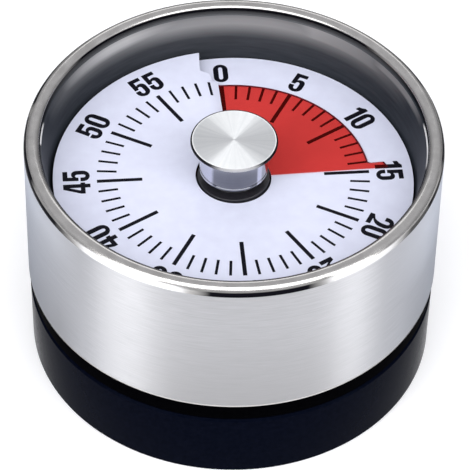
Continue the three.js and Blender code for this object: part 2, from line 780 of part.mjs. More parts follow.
function train() {
  const toothed = (module, teeth, level) =>
    extruded(roundHole(gearShape(module, teeth), pivotHole), level, level + wheelThickness);

  const mainMiddle = mainLevel + mainWheelThickness / 2;
  const secondArbor = pinionArbor(mainModule, secondPinionTeeth, mainMiddle, secondBearing, camBottom);
  inMovement('second_arbor', secondArbor, plated, { at: secondAt });
  const secondWheel = toothed(secondModule, secondTeeth, secondLevel);
  inMovement('second_wheel', secondWheel, acetal, { at: secondAt, turn: thirdBearing });

  const secondMiddle = secondLevel + wheelThickness / 2;
  const thirdArbor = pinionArbor(secondModule, thirdPinionTeeth, secondMiddle, thirdBearing);
  inMovement('third_arbor', thirdArbor, plated, { at: thirdAt });
  const thirdWheel = toothed(thirdModule, thirdTeeth, thirdLevel);
  inMovement('third_wheel', thirdWheel, acetal, { at: thirdAt, turn: escapeBearing });

  const thirdMiddle = thirdLevel + wheelThickness / 2;
  const escapeArbor = pinionArbor(thirdModule, escapePinionTeeth, thirdMiddle, escapeBearing);
  inMovement('escape_arbor', escapeArbor, plated, { at: escapeAt });
  const saw = roundHole(sawShape(escapeRadius, escapeDepth, escapeTeeth), pivotHole);
  const escapeWheel = extruded(saw, escapeLevel, escapeLevel + wheelThickness);
  inMovement('escape_wheel', escapeWheel, acetal, { at: escapeAt });
}

// ---------------------------------------------------------------- pallet and balance
// The lever's own +X points at the escape wheel. Its two pins hang beside the wheel's teeth.
function palletLever() {
  const pinCircle = escapeRadius + palletPinGap + palletPinRadius;
  const pinSwing = Math.acos(pinCircle / palletDistance);
  const pinX = palletDistance - pinCircle * Math.cos(pinSwing);
  const pinY = pinCircle * Math.sin(pinSwing);
  const half = palletArmWidth / 2;
  const top = palletLevel + palletThickness;
  const shape = outline([
    [-forkReach, -half],
    [-half, -half],
    [0, -2 * half],
    [pinX, -pinY - half],
    [pinX + half, -pinY],
    [2 * half, 0],
    [pinX + half, pinY],
    [pinX, pinY + half],
    [0, 2 * half],
    [-half, half],
    [-forkReach, half],
    [half - forkReach, 0],
  ]);
  const pins = [-pinY, pinY].map((y) =>
    movedTo(cylinder(palletPinRadius, escapeLevel, top + fit, tinySegments), [pinX, y]));
  const staff = cylinder(pivotRadius, backBottom, frontBottom + plateThickness, tinySegments);
  const lever = joined(extruded(shape, palletLevel, top), staff, ...pins);
  inMovement('pallet_lever', lever, plated, { at: palletAt, turn: palletBearing + 180 });
}

function balance() {
  const place = { at: balanceAt, turn: balanceBearing };
  const top = balanceLevel + balanceThickness;
  const rim = cut(cylinder(balanceRadius, balanceLevel, top, discSegments),
    cylinder(balanceRadius - balanceRim, balanceLevel - past, top + past, discSegments));
  const spokeLength = 2 * balanceRadius - balanceRim;
  const spoke = new THREE.BoxGeometry(spokeLength, balanceBossRadius, balanceThickness - 2 * magnetInset);
  spoke.translate(0, 0, (balanceLevel + top) / 2);
  const boss = cylinder(balanceBossRadius, balanceLevel - fit, top + fit, tinySegments);
  const hole = drill(pivotHole, balanceLevel - past, top + past);
  inMovement('balance_wheel', cut(joined(rim, spoke, boss), hole), brass, place);

  const staff = cylinder(pivotRadius, backBottom, frontBottom + plateThickness, tinySegments);
  const rollerRadius = balanceDistance - forkReach - running;
  const roller = cylinder(rollerRadius, palletLevel, palletLevel + palletThickness);
  inMovement('balance_staff', joined(staff, roller), plated, place);

  const coil = spiralShape(hairInner, hairOuter, hairStrip, hairTurns, 12);
  const hairTop = balanceLevel - hairDrop;
  inMovement('hairspring', extruded(coil, hairTop - hairHeight, hairTop), springSteel, place);
}

// ---------------------------------------------------------------- alarm
function alarm() {
  const notch = new THREE.BoxGeometry(2 * camNotch, 2 * camNotch, camThickness + 2 * past);
  notch.rotateZ(radians(camNotchBearing + 45));
  notch.translate(...polar(camRadius + camNotch / 3, camNotchBearing), (camTop + camBottom) / 2);
  const bore = drill(arborHole, camBottom - past, camTop + past);
  inMovement('alarm_cam', cut(cylinder(camRadius, camBottom, camTop, discSegments), bore, notch), acetal);

  const star = roundHole(sawShape(strikeRadius, strikeDepth, strikeTeeth), pivotHole);
  inMovement('strike_wheel', extruded(star, camBottom, camTop), acetal, { at: secondAt });

  const floor = bellBottom + bellWall;
  const lip = bellRadius - bellWall;
  const bell = turned(closed([
    [screwHole, bellBottom],
    [bellRadius - bellEdge, bellBottom],
    [bellRadius, bellBottom + bellEdge],
    [bellRadius, bellTop],
    [lip, bellTop],
    [lip, floor + bellEdge],
    [lip - bellEdge, floor],
    [screwHole, floor],
  ]), bodySegments);
  piece('bell', bell, steel);
  const bellScrew = screw(screwHeadHeight, bellWall + fit + bellPostHeight);
  piece('bell_screw', bellScrew, plated, { height: floor + fit });

  const stud = cylinder(hammerStudRadius, camBottom - past, camTop, tinySegments);
  inMovement('hammer_stud', stud, plated, { at: hammerAt });
  hammer();
}

// The hammer turns on its stud. The cam holds its nose, which keeps its tail off the strike wheel and
// its head off the bell's lip. Its spring lies along the arm to the head.
function hammer() {
  const headCircle = bellRadius - bellWall - hammerHeadRadius - hammerSwing - fit;
  const fromStud = ([x, y]) => [x - hammerAt[0], y - hammerAt[1]];
  const headAt = fromStud(polar(headCircle, hammerHeadBearing));
  const noseAt = fromStud(polar(camRadius + fit + hammerTipRadius, hammerNoseBearing));
  const tailAt = fromStud(step(secondAt, strikeRadius + fit + hammerTipRadius, hammerTailBearing));
  const inset = camThickness / 8;
  const strap = (points, by) => extruded(strapShape(points, hammerArmWidth), camBottom + by, camTop - by);
  const arms = strap([noseAt, centre, headAt], inset);
  const tailArm = strap([centre, [tailAt[0] / 2, tailAt[1] / 2], tailAt], 2 * inset);
  const eye = cylinder(hammerStudRadius + hammerEyeWall, camBottom, camTop, tinySegments);
  const headBottom = bellTop - hammerHeadReach - backTop;
  const head = movedTo(cylinder(hammerHeadRadius, headBottom, camTop, tinySegments), headAt);
  const tip = cylinder(hammerTipRadius, camBottom, camTop, tinySegments);
  const tips = [noseAt, tailAt].map((at) => movedTo(tip.clone(), at));
  const hole = drill(hammerStudRadius + fit, camBottom - past, camTop + past);
  inMovement('hammer', cut(joined(arms, tailArm, eye, head, ...tips), hole), plated, { at: hammerAt });

  const beside = besideLine(centre, headAt);
  const near = -(hammerArmWidth / 2 + hammerSpringGap);
  const far = 2 * near;
  const leaf = outline([
    beside(hammerSpringStart, near),
    beside(hammerSpringEnd, far),
    beside(hammerSpringEnd + hammerSpringBlock, far),
    beside(hammerSpringEnd + hammerSpringBlock, far - hammerSpringBlock),
    beside(hammerSpringEnd, far - hammerSpringBlock),
    beside(hammerSpringEnd, far - hammerSpringWidth),
    beside(hammerSpringStart, near - hammerSpringWidth),
  ]);
  inMovement('hammer_spring', extruded(leaf, camBottom, camTop), springSteel, { at: hammerAt });
}

outerRing();
innerCase();
dialPlate();
redDisc();
baseShell();
caseFasteners();
knob();
movementFrame();
power();
train();
palletLever();
balance();
alarm();

export default timer;
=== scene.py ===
"""A wind-up kitchen timer: a brushed steel can, a white dial and a red disc that shrinks with the time.

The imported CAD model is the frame. The can, liner, dial, film, knob, hub and base are rebuilt here
at full smoothness. They fill the same boxes, except that the dial is a little wider and lower,
and that the film is thinner and closer to it. The screws, the magnets and the clockwork keep
their CAD meshes and get procedural materials. Shapes are written in millimetres and turned into
metres when a mesh is made, and the lights are placed in metres.
"""

import json
import math

import bmesh
import bpy
from mathutils import Matrix, Vector
from mathutils.geometry import tessellate_polygon


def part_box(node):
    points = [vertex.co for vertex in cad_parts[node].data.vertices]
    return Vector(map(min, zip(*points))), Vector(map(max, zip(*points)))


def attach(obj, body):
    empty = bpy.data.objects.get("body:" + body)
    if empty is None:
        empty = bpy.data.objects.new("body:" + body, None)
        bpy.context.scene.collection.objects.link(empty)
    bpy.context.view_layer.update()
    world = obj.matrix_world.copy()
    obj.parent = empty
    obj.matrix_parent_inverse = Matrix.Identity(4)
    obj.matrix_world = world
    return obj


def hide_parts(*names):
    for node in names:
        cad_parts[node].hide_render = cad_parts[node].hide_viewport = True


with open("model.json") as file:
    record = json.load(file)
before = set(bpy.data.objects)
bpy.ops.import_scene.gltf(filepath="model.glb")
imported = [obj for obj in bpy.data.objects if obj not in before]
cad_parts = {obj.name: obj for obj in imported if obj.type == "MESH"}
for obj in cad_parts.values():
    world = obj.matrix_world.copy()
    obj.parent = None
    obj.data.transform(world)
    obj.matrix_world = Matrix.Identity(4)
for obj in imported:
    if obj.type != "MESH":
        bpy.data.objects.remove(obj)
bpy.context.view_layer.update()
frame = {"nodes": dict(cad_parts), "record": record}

MM = 0.001


def mm_box(node):
    """A CAD node's lowest and highest corners, in millimetres."""
    low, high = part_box(node)
    return Vector(low) / MM, Vector(high) / MM


def places(family):
    """The middles, seen from above, of the three CAD nodes of one family."""
    middles = [sum(mm_box(f"{family}_{i}"), Vector()) / 2 for i in (1, 2, 3)]
    return [(middle.x, middle.y) for middle in middles]


# ---------------------------------------------------------------- sizes, in millimetres
RING_LOW, RING_HIGH = mm_box("outer_ring")
BASE_HIGH = mm_box("base_shell")[1]
CAP_LOW, CAP_HIGH = mm_box("knob_cap")
HUB_LOW, HUB_HIGH = mm_box("knob_insert")
ARBOR_TOP = mm_box("main_arbor")[1].z

# The clearance that pieces keep, how far a cutting tool passes the faces that it cuts, and how
# near the axis a point counts as on it.
GAP = 0.3
THROUGH = 1
ON_AXIS = 1e-6

# Facets round a visible piece and round a hole, and the bend in degrees that counts as an edge.
ROUND = 256
HOLE_ROUND = 64
SHARP = 28

# The can. Its top edge is rolled over and in, BEAD_TURN degrees round the bead.
RIM_TOP = RING_HIGH.z
RING_RADIUS = RING_HIGH.x
RING_BOTTOM = RING_LOW.z
RING_WALL = 0.8
RING_EDGE = 0.25
RING_CHAMFER = 0.1
BEAD_RADIUS = 1.6
BEAD_TURN = 139
BEAD_CENTRE = (RING_RADIUS - BEAD_RADIUS, RIM_TOP - BEAD_RADIUS)
BRUSHED_BOTTOM = RING_BOTTOM + 0.5
BRUSHED_TOP = BEAD_CENTRE[1] - 0.35

# The base: its outer wall, the spigot that enters the liner, and the floor with its middle boss.
BASE_RADIUS = BASE_HIGH.x
BASE_TOP = 14.5
SPIGOT_OUTER = 35.8
SPIGOT_INNER = 34.4
SPIGOT_TOP = BASE_TOP + 2
WELL_RADIUS = 36.35
WELL_TOP = 10.5
WELL_SHOULDER = 12.5
FLOOR_TOP = 2.8
MIDDLE_BOSS = (4.2, 5.2)
MIDDLE_PIT = 1

# The liner. Its wall slopes in from a mouth under the bead to a foot below the dial, and stands
# on a deck. The lip at its top is CASE_LIP high. The bosses reach SEATED into the deck.
NECK_RADIUS = RING_RADIUS - 0.4
CASE_OUTER = RING_RADIUS - RING_WALL - GAP
CASE_INNER = CASE_OUTER - 1.8
CASE_TOP = RIM_TOP - 1.7
CASE_LIP = 0.3
MOUTH_RADIUS = CASE_OUTER - 2.15
DIAL_MIDDLE = RIM_TOP - 10.25
DECK_TOP = DIAL_MIDDLE - 3.75
DECK_BOTTOM = DECK_TOP - 1.6
DECK_HOLE = 3.3
SEATED = 0.8
DIAL_RADIUS = MOUTH_RADIUS - 2.15
DIAL_EDGE = DIAL_RADIUS + 0.2
WALL_FOOT = (DIAL_EDGE + 0.2, DIAL_MIDDLE - 1.9)
DECK_EDGE = DIAL_EDGE + 0.15

# The dial and the disc, two sheets on one shallow screw that rises HELIX_RISE in a turn and lies
# DIAL_SAG lower than in CAD. The film's top is DISC_LIFT above the dial, and its rim is painted a
# darker red, a painted shade for its cut edge.
HELIX_RISE = 1.7
DIAL_SAG = 0.2
DIAL_THICKNESS = 0.35
DIAL_HOLE = HUB_HIGH.x + 0.32
DISC_RADIUS = DIAL_RADIUS - 7.8
DISC_OUTER = DISC_RADIUS - 0.05
DISC_THICKNESS = 0.12
DISC_LIFT = 0.26
DISC_RIM = 0.28

# The disc's span, its front edge and its tab, in degrees. Its outline swells before the tab by
# TAB_ROUND, and the tab reaches TAB_REACH past the disc, and TAB_SLANT more at its front.
DISC_SPAN = 350
DISC_LEAD = 88.5
TAB_ROOT = DISC_LEAD - 4
TAB_START = DISC_LEAD - 3
TAB_ROUND = 1.1
TAB_REACH = 3
TAB_SLANT = 0.6

# The dial's slit, in degrees. It lies SLIT_BACK before the 0, and SLIT_STEP further back outside
# STEP_RADIUS. SLIT_EDGE gives the outer stretch's shift at some radii, and SLIT_BEND how far
# round the dial the shift dies away. STEP_HALF is half the step's width, in millimetres.
SLIT_HALF = 0.05
SLIT_BACK = 1.8
SLIT_STEP = 4.85
SLIT_EDGE = ((26.2, 2.5), (28.0, 1.9), (28.9, -1.5), (33.6, 0))
SLIT_BEND = 14
STEP_RADIUS = DISC_RADIUS + 0.3
STEP_HALF = 0.1

# The free flap beside the slit: its corner lifts outside FLAP_ROOT, its inner part sinks towards
# the disc, and the slit's other side drops a little. Each dies away over its spread in degrees.
FLAP_ROOT = 25
FLAP_LIFT = 0.15
FLAP_SINK = 0.9
FLAP_DROP = 0.2
FLAP_SPREAD = 35
SINK_SPREAD = 9

# Screws, bosses and magnets. A pocket is a radius and a depth.
BOSS_MEETING = BASE_HIGH.z
CASE_BOSS = 3
BASE_BOSS = 3.3
BASE_BOSS_FOOT = 1.4
SCREW_HOLE = 1.5
SCREW_DEPTH = 10.7
HEAD_HOLE = 2.7
HEAD_SEAT = BOSS_MEETING - 4.4
MAGNET_POCKET = (6.3, 2.2)
SCREW_PLACES = places("case_screw")
PILLAR_PLACES = places("movement_screw")
MAGNET_PLACES = places("magnet")

# The print. A tick is its inner radius and its width, and the zero line its inner radius and
# how far it reaches to the right of the 0. To the left it runs on to the slit, and there its ink is
# a painted shadow along the slit's edge.
PRINT_LIFT = 0.02
PRINT_DEPTH = 0.05
TICK_OUTER = 25.6
LONG_TICK = (17.1, 0.78)
SHORT_TICK = (21.9, 0.52)
ZERO_LINE_AND_SLIT_SHADOW = (DIAL_HOLE + 0.2, 0.27)
NUMERAL_FOOT = 26.85
NUMERAL_HEIGHT = 5.1
NUMERAL_SQUEEZE = 0.925
NUMERAL_GAP = 0.32


# ---------------------------------------------------------------- mesh helpers
def soften(bm, sharp=SHARP):
    """Shades every face smooth, except across edges that bend by more than some degrees."""
    limit = math.radians(sharp)
    for face in bm.faces:
        face.smooth = True
    for edge in bm.edges:
        edge.smooth = edge.is_manifold and edge.calc_face_angle(0) < limit


def mesh_object(name, bm, *materials, sharp=SHARP):
    """Turns a bmesh in millimetres into an object in metres, smooth except across sharp edges."""
    bmesh.ops.recalc_face_normals(bm, faces=bm.faces)
    soften(bm, sharp)
    bmesh.ops.scale(bm, vec=(MM, MM, MM), verts=bm.verts)
    mesh = bpy.data.meshes.new(name)
    bm.to_mesh(mesh)
    bm.free()
    for finish in materials:
        mesh.materials.append(finish)
    obj = bpy.data.objects.new(name, mesh)
    bpy.context.scene.collection.objects.link(obj)
    return obj


def polar(radius, degrees):
    """The x and y of a point at a radius and an angle in degrees."""
    return radius * math.cos(math.radians(degrees)), radius * math.sin(math.radians(degrees))


def bow(centre_x, centre_y, reach_x, reach_y, start, end, steps=12):
    """Points along part of an ellipse, from one angle to another in degrees."""
    points = []
    for i in range(steps + 1):
        x, y = polar(1, start + (end - start) * i / steps)
        points.append((centre_x + reach_x * x, centre_y + reach_y * y))
    return points


def rounded(points, radius, steps=4):
    """A closed profile with each corner rounded, less where its sides are short."""
    nearly_straight = math.radians(86)
    most = 0.45
    result = []
    for i, point in enumerate(points):
        here = Vector(point)
        before = Vector(points[i - 1]) - here
        after = Vector(points[(i + 1) % len(points)]) - here
        half = before.angle(after) / 2
        if here.x < ON_AXIS or half > nearly_straight:
            result.append(point)
            continue
        reach = min(radius / math.tan(half), most * before.length, most * after.length)
        start = here + before.normalized() * reach
        end = here + after.normalized() * reach
        for k in range(steps + 1):
            share = k / steps
            bend = start.lerp(here, share).lerp(here.lerp(end, share), share)
            result.append((bend.x, bend.y))
    return result


def add_lathe(bm, profile, at=(0, 0), segments=ROUND, pick=None):
    """Turns a closed profile of (radius, height) points. Pick gives a height's material number."""
    rings = []
    for radius, height in profile:
        if radius < ON_AXIS:
            rings.append([bm.verts.new((*at, height))])
            continue
        spots = [polar(radius, 360 * i / segments) for i in range(segments)]
        rings.append([bm.verts.new((at[0] + x, at[1] + y, height)) for x, y in spots])
    for k, lower in enumerate(rings):
        upper = rings[(k + 1) % len(rings)]
        middle = (profile[k][1] + profile[(k + 1) % len(rings)][1]) / 2
        for i in range(segments):
            j = i + 1
            corners = [lower[i % len(lower)], lower[j % len(lower)]]
            corners += [upper[j % len(upper)], upper[i % len(upper)]]
            corners = list(dict.fromkeys(corners))
            if len(corners) > 2:
                face = bm.faces.new(corners)
                face.material_index = pick(middle) if pick else 0


def lathe(name, profile, *materials, pick=None, sharp=SHARP):
    """An object that is one turned profile."""
    bm = bmesh.new()
    add_lathe(bm, profile, pick=pick)
    return mesh_object(name, bm, *materials, sharp=sharp)


def peg(radius, low, high):
    """The profile of a plain round peg, to add or to cut."""
    return [(0, low), (radius, low), (radius, high), (0, high)]


def carved(obj, operation, profile, spots):
    """Adds or cuts the same turned shape at several places, with an exact boolean.

    The boolean is applied, the slivers that it leaves are closed, and the edges are marked again.
    """
    weld = 0.004 * MM
    sliver = 0.002 * MM
    bm = bmesh.new()
    for spot in spots:
        add_lathe(bm, profile, at=spot, segments=HOLE_ROUND)
    tool = mesh_object(obj.name + "_tool", bm)
    modifier = obj.modifiers.new("carved", "BOOLEAN")
    modifier.operation = operation
    modifier.solver = "EXACT"
    modifier.object = tool
    graph = bpy.context.evaluated_depsgraph_get()
    mesh = bpy.data.meshes.new_from_object(obj.evaluated_get(graph))
    obj.modifiers.clear()
    bm = bmesh.new()
    bm.from_mesh(mesh)
    bmesh.ops.remove_doubles(bm, verts=bm.verts, dist=weld)
    bmesh.ops.dissolve_degenerate(bm, dist=sliver, edges=bm.edges)
    open_edges = [edge for edge in bm.edges if edge.is_boundary]
    if open_edges:
        bmesh.ops.holes_fill(bm, edges=open_edges, sides=0)
    soften(bm)
    bm.to_mesh(mesh)
    bm.free()
    obj.data = mesh
    bpy.data.objects.remove(tool)


# ---------------------------------------------------------------- helix
def dial_height(clockwise):
    """The height of the dial's top at an angle in degrees, clockwise from the 0 mark."""
    return DIAL_MIDDLE - DIAL_SAG + HELIX_RISE * (clockwise / 360 - 0.5)


def fading(distance, spread):
    """How much is left of a bend at a distance from it, from 1 down to 0."""
    return max(0, 1 - distance / spread) ** 2


def dial_surface(clockwise, radius):
    """The dial's top. Beside the slit, its high side sinks towards the film that has passed under it.

    Further out that side curls up to a corner, and the low side drops a little.
    """
    share = min(1, max(0, (radius - FLAP_ROOT) / (DIAL_RADIUS - FLAP_ROOT)))
    outward = share * share * (3 - 2 * share)
    behind = 360 - SLIT_BACK - clockwise
    ahead = clockwise + SLIT_BACK + SLIT_STEP
    rising = FLAP_LIFT * outward * fading(behind, FLAP_SPREAD)
    sinking = FLAP_SINK * (1 - outward) * fading(behind, SINK_SPREAD)
    falling = FLAP_DROP * outward * fading(ahead, FLAP_SPREAD)
    return dial_height(clockwise) + rising - sinking - falling


def disc_surface(clockwise, radius):
    """The film's top, which is the same at every radius."""
    return dial_height(clockwise) + DISC_LIFT


def slit_edge(clockwise, radius):
    """Bends the angles near the slit, so that both of its edges follow the flap's outline."""
    if radius < STEP_RADIUS:
        return clockwise
    shift = SLIT_EDGE[-1][1]
    for (near, first), (far, second) in zip(SLIT_EDGE, SLIT_EDGE[1:]):
        if radius < far:
            shift = first + (second - first) * max(0, radius - near) / (far - near)
            break
    start = -SLIT_BACK - SLIT_STEP
    distance = min(abs(clockwise - start), abs(clockwise - 360 - start))
    return clockwise + shift * max(0, 1 - distance / SLIT_BEND)


def steps_between(start, end, step):
    """Evenly spaced values from start to end, about a step apart."""
    count = max(1, round((end - start) / step))
    return [start + (end - start) * i / count for i in range(count + 1)]


def everywhere(angle, band):
    """Keeps every cell of a sheet."""
    return True


def plain(band):
    """Gives every band of a sheet its first material."""
    return 0


def unbent(clockwise, radius):
    """Leaves a sheet's angles as they are."""
    return clockwise


def add_sheet(bm, angles, radii, top, thickness, kept=everywhere, finish=plain, bend=unbent):
    """A solid sheet over cells of angle and radius. Radii may be a list, or a function of angle."""
    def radius_list(angle):
        return radii(angle) if callable(radii) else radii

    def corner(angle, radius, drop):
        bent = bend(angle, radius)
        return (*polar(radius, 90 - bent), top(bent, radius) - drop)

    def corners(drop):
        return [[corner(a, r, drop) for r in radius_list(a)] for a in angles]

    def vertex(layer, grid, i, k):
        if (layer, i, k) not in made:
            made[layer, i, k] = bm.verts.new(grid[i][k])
        return made[layer, i, k]

    made = {}
    upper, lower = corners(0), corners(thickness)
    width = len(upper[0]) - 1
    cells = set()
    for i in range(len(angles) - 1):
        for k in range(width):
            if kept((angles[i] + angles[i + 1]) / 2, k):
                cells.add((i, k))
    for i, k in cells:
        around = [(i, k), (i + 1, k), (i + 1, k + 1), (i, k + 1)]
        faces = [bm.faces.new([vertex(1, upper, *spot) for spot in around])]
        faces.append(bm.faces.new([vertex(0, lower, *spot) for spot in reversed(around)]))
        neighbours = [(i, k - 1), (i + 1, k), (i, k + 1), (i - 1, k)]
        for side, neighbour in enumerate(neighbours):
            if neighbour in cells:
                continue
            ends = [(1, upper, around[(side + 1) % 4]), (1, upper, around[side])]
            ends += [(0, lower, around[side]), (0, lower, around[(side + 1) % 4])]
            faces.append(bm.faces.new([vertex(layer, grid, *spot) for layer, grid, spot in ends]))
        for face in faces:
            face.material_index = finish(k)


def on_dial(across, radius, clockwise):
    """A point on the dial's surface, beside the radial line at an angle."""
    angle = clockwise + math.degrees(math.atan2(across, radius))
    x, y = polar(math.hypot(across, radius), 90 - angle)
    return Vector((x, y, dial_surface(angle, math.hypot(across, radius))))


def add_print(bm, loops, clockwise):
    """Printed ink: flat shapes of (across, radius) points, just proud of the dial."""
    flat = [[Vector((x, y, 0)) for x, y in loop] for loop in loops]
    points = [point for loop in flat for point in loop]
    spots = [on_dial(point.x, point.y, clockwise) for point in points]
    top = [bm.verts.new(spot + Vector((0, 0, PRINT_LIFT))) for spot in spots]
    bottom = [bm.verts.new(spot + Vector((0, 0, PRINT_LIFT - PRINT_DEPTH))) for spot in spots]
    for triangle in tessellate_polygon(flat):
        bm.faces.new([top[i] for i in triangle])
        bm.faces.new([bottom[i] for i in reversed(triangle)])
    start = 0
    for loop in loops:
        for i in range(len(loop)):
            a, b = start + i, start + (i + 1) % len(loop)
            bm.faces.new([top[a], top[b], bottom[b], bottom[a]])
        start += len(loop)


# ---------------------------------------------------------------- numerals
def digit_outlines():
    """Heavy condensed figures and their widths, on a grid about 6 wide and 10 high.

    Each is a list of loops: its outline, and then any holes.
    """
    zero = [
        bow(3, 7.2, 3, 2.8, 0, 180) + bow(3, 2.8, 3, 2.8, 180, 360),
        bow(3, 7.5, 0.85, 0.95, 0, 180) + bow(3, 2.5, 0.85, 0.95, 180, 360),
    ]
    one = [[(1.7, 0), (3.9, 0), (3.9, 10), (2.3, 10), (1.3, 9.1), (0, 8.5), (0, 6.8), (1.7, 7.3)]]
    two = [
        [(0.1, 0), (5.8, 0), (5.8, 1.8), (2.6, 1.8)]
        + bow(2.4, 6.6, 3.5, 4.4, -62, -8, 6)
        + bow(3, 7.2, 2.95, 2.8, 0, 180)
        + [(0.05, 6.2), (2.15, 6.2)]
        + bow(3, 7.55, 0.85, 0.9, 180, 0)
        + bow(0.6, 6.9, 3.25, 5, -6, -60, 6)
        + [(0.1, 1.7)]
    ]
    three = [
        bow(3, 7.35, 2.9, 2.65, 180, 0)
        + [(5.9, 6.7), (5.6, 5.75), (4.8, 5.25), (5.65, 4.7), (5.95, 3.8)]
        + bow(3, 2.65, 2.95, 2.65, 0, -180)
        + [(0.05, 3.7), (2.15, 3.7)]
        + bow(3, 2.5, 0.85, 0.95, 180, 360)
        + [(3.85, 3.7), (3.5, 4.35), (2.5, 4.5), (2.5, 5.95), (3.5, 6.1), (3.85, 6.7)]
        + bow(3, 7.55, 0.85, 0.9, 0, 180)
        + [(2.15, 6.5), (0.1, 6.5)]
    ]
    four = [
        [(3.3, 0), (5.3, 0), (5.3, 1.9), (6.1, 1.9), (6.1, 3.6), (5.3, 3.6), (5.3, 10), (2.5, 10)]
        + [(0, 3.5), (0, 1.9), (3.3, 1.9)],
        [(3.3, 3.6), (1.75, 3.6), (3.3, 7.9)],
    ]
    five = [
        [(0.45, 10), (5.6, 10), (5.6, 8.2), (2.35, 8.2), (2.25, 6.3), (3, 6.75), (3.9, 6.85)]
        + bow(3.9, 4.8, 2.05, 2.05, 78, 0, 6)
        + bow(3, 2.65, 2.95, 2.65, 0, -180)
        + [(0.05, 3.5), (2.15, 3.5)]
        + bow(3, 2.5, 0.85, 0.95, 180, 360)
        + bow(3, 4.55, 0.85, 0.85, 0, 180)
        + [(2.1, 4.2), (0.3, 4.2)]
    ]
    digits = {"0": (zero, 6), "1": (one, 3.9), "2": (two, 5.9)}
    digits.update({"3": (three, 6), "4": (four, 6.1), "5": (five, 6)})
    return digits


def add_numeral(bm, text, clockwise, digits):
    """A number set upright on the radial line at an angle, with its foot towards the middle."""
    unit = NUMERAL_HEIGHT / 10
    breadth = unit * NUMERAL_SQUEEZE
    width = sum(digits[figure][1] * breadth for figure in text) + NUMERAL_GAP * (len(text) - 1)
    left = -width / 2
    for figure in text:
        outline, advance = digits[figure]
        loops = [[(left + x * breadth, NUMERAL_FOOT + y * unit) for x, y in loop] for loop in outline]
        add_print(bm, loops, clockwise)
        left += advance * breadth + NUMERAL_GAP


def add_tick(bm, inner, width, clockwise):
    """One minute's line, from an inner radius out to the radius where all of them end."""
    half = width / 2
    add_print(bm, [[(-half, inner), (half, inner), (half, TICK_OUTER), (-half, TICK_OUTER)]], clockwise)


# ---------------------------------------------------------------- materials
def material(name, dark, light, roughness, grain, spread=0.05, bump=0.0, metallic=0, **sockets):
    """A procedural surface: one noise varies its colour, roughness and relief.

    The grain is the noise's size along X, Y and Z in millimetres. The middle of the noise's
    range is stretched over the whole blend.
    """
    made = bpy.data.materials.new(name)
    made.use_nodes = True
    nodes, links = made.node_tree.nodes, made.node_tree.links
    surface = nodes["Principled BSDF"]
    surface.inputs["Metallic"].default_value = metallic
    for socket, value in sockets.items():
        surface.inputs[socket.replace("_", " ")].default_value = value
    place = nodes.new("ShaderNodeTexCoord")
    stretch = nodes.new("ShaderNodeMapping")
    stretch.inputs["Scale"].default_value = [1 / (size * MM) for size in grain]
    links.new(place.outputs["Object"], stretch.inputs["Vector"])
    noise = nodes.new("ShaderNodeTexNoise")
    noise.inputs["Scale"].default_value = 1
    noise.inputs["Detail"].default_value = 4
    links.new(stretch.outputs["Vector"], noise.inputs["Vector"])
    blend = nodes.new("ShaderNodeMix")
    blend.data_type = "RGBA"
    blend.inputs["A"].default_value = (*dark, 1)
    blend.inputs["B"].default_value = (*light, 1)
    wide = nodes.new("ShaderNodeMapRange")
    wide.inputs["From Min"].default_value = 0.3
    wide.inputs["From Max"].default_value = 0.7
    links.new(noise.outputs["Fac"], wide.inputs["Value"])
    links.new(wide.outputs["Result"], blend.inputs["Factor"])
    links.new(blend.outputs["Result"], surface.inputs["Base Color"])
    gloss = nodes.new("ShaderNodeMapRange")
    gloss.inputs["To Min"].default_value = max(0.02, roughness - spread)
    gloss.inputs["To Max"].default_value = roughness + spread
    links.new(wide.outputs["Result"], gloss.inputs["Value"])
    links.new(gloss.outputs["Result"], surface.inputs["Roughness"])
    if bump:
        relief = nodes.new("ShaderNodeBump")
        relief.inputs["Strength"].default_value = bump
        relief.inputs["Distance"].default_value = 0.02 * MM
        links.new(noise.outputs["Fac"], relief.inputs["Height"])
        links.new(relief.outputs["Normal"], surface.inputs["Normal"])
    return made


def turned(made):
    """Scratches that run round the upright axis, so highlights stretch across them."""
    nodes, links = made.node_tree.nodes, made.node_tree.links
    tangent = nodes.new("ShaderNodeTangent")
    tangent.direction_type = "RADIAL"
    tangent.axis = "Z"
    links.new(tangent.outputs["Tangent"], nodes["Principled BSDF"].inputs["Tangent"])
    return made


def tinted(made, colour, share):
    """A film that lets tinted light through, and shows only a share of its own surface."""
    nodes, links = made.node_tree.nodes, made.node_tree.links
    through = nodes.new("ShaderNodeBsdfTransparent")
    through.inputs["Color"].default_value = (*colour, 1)
    mix = nodes.new("ShaderNodeMixShader")
    mix.inputs["Fac"].default_value = share
    links.new(through.outputs["BSDF"], mix.inputs[1])
    links.new(nodes["Principled BSDF"].outputs["BSDF"], mix.inputs[2])
    links.new(mix.outputs["Shader"], nodes["Material Output"].inputs["Surface"])
    return made


def rayed(made, shade, count):
    """Faint rays from the middle of a turned face: a shade that varies only with the bearing."""
    nodes, links = made.node_tree.nodes, made.node_tree.links
    surface = nodes["Principled BSDF"]
    colour = surface.inputs["Base Color"].links[0].from_socket
    bearing = nodes.new("ShaderNodeTexGradient")
    bearing.gradient_type = "RADIAL"
    links.new(nodes["Texture Coordinate"].outputs["Object"], bearing.inputs["Vector"])
    rays = nodes.new("ShaderNodeTexNoise")
    rays.noise_dimensions = "1D"
    rays.inputs["Scale"].default_value = count
    rays.inputs["Detail"].default_value = 3
    links.new(bearing.outputs["Fac"], rays.inputs["W"])
    spread = nodes.new("ShaderNodeMapRange")
    spread.inputs["From Min"].default_value = 0.4
    spread.inputs["From Max"].default_value = 0.7
    links.new(rays.outputs["Fac"], spread.inputs["Value"])
    blend = nodes.new("ShaderNodeMix")
    blend.data_type = "RGBA"
    links.new(spread.outputs["Result"], blend.inputs["Factor"])
    links.new(colour, blend.inputs["A"])
    blend.inputs["B"].default_value = (*shade, 1)
    links.new(blend.outputs["Result"], surface.inputs["Base Color"])
    return made


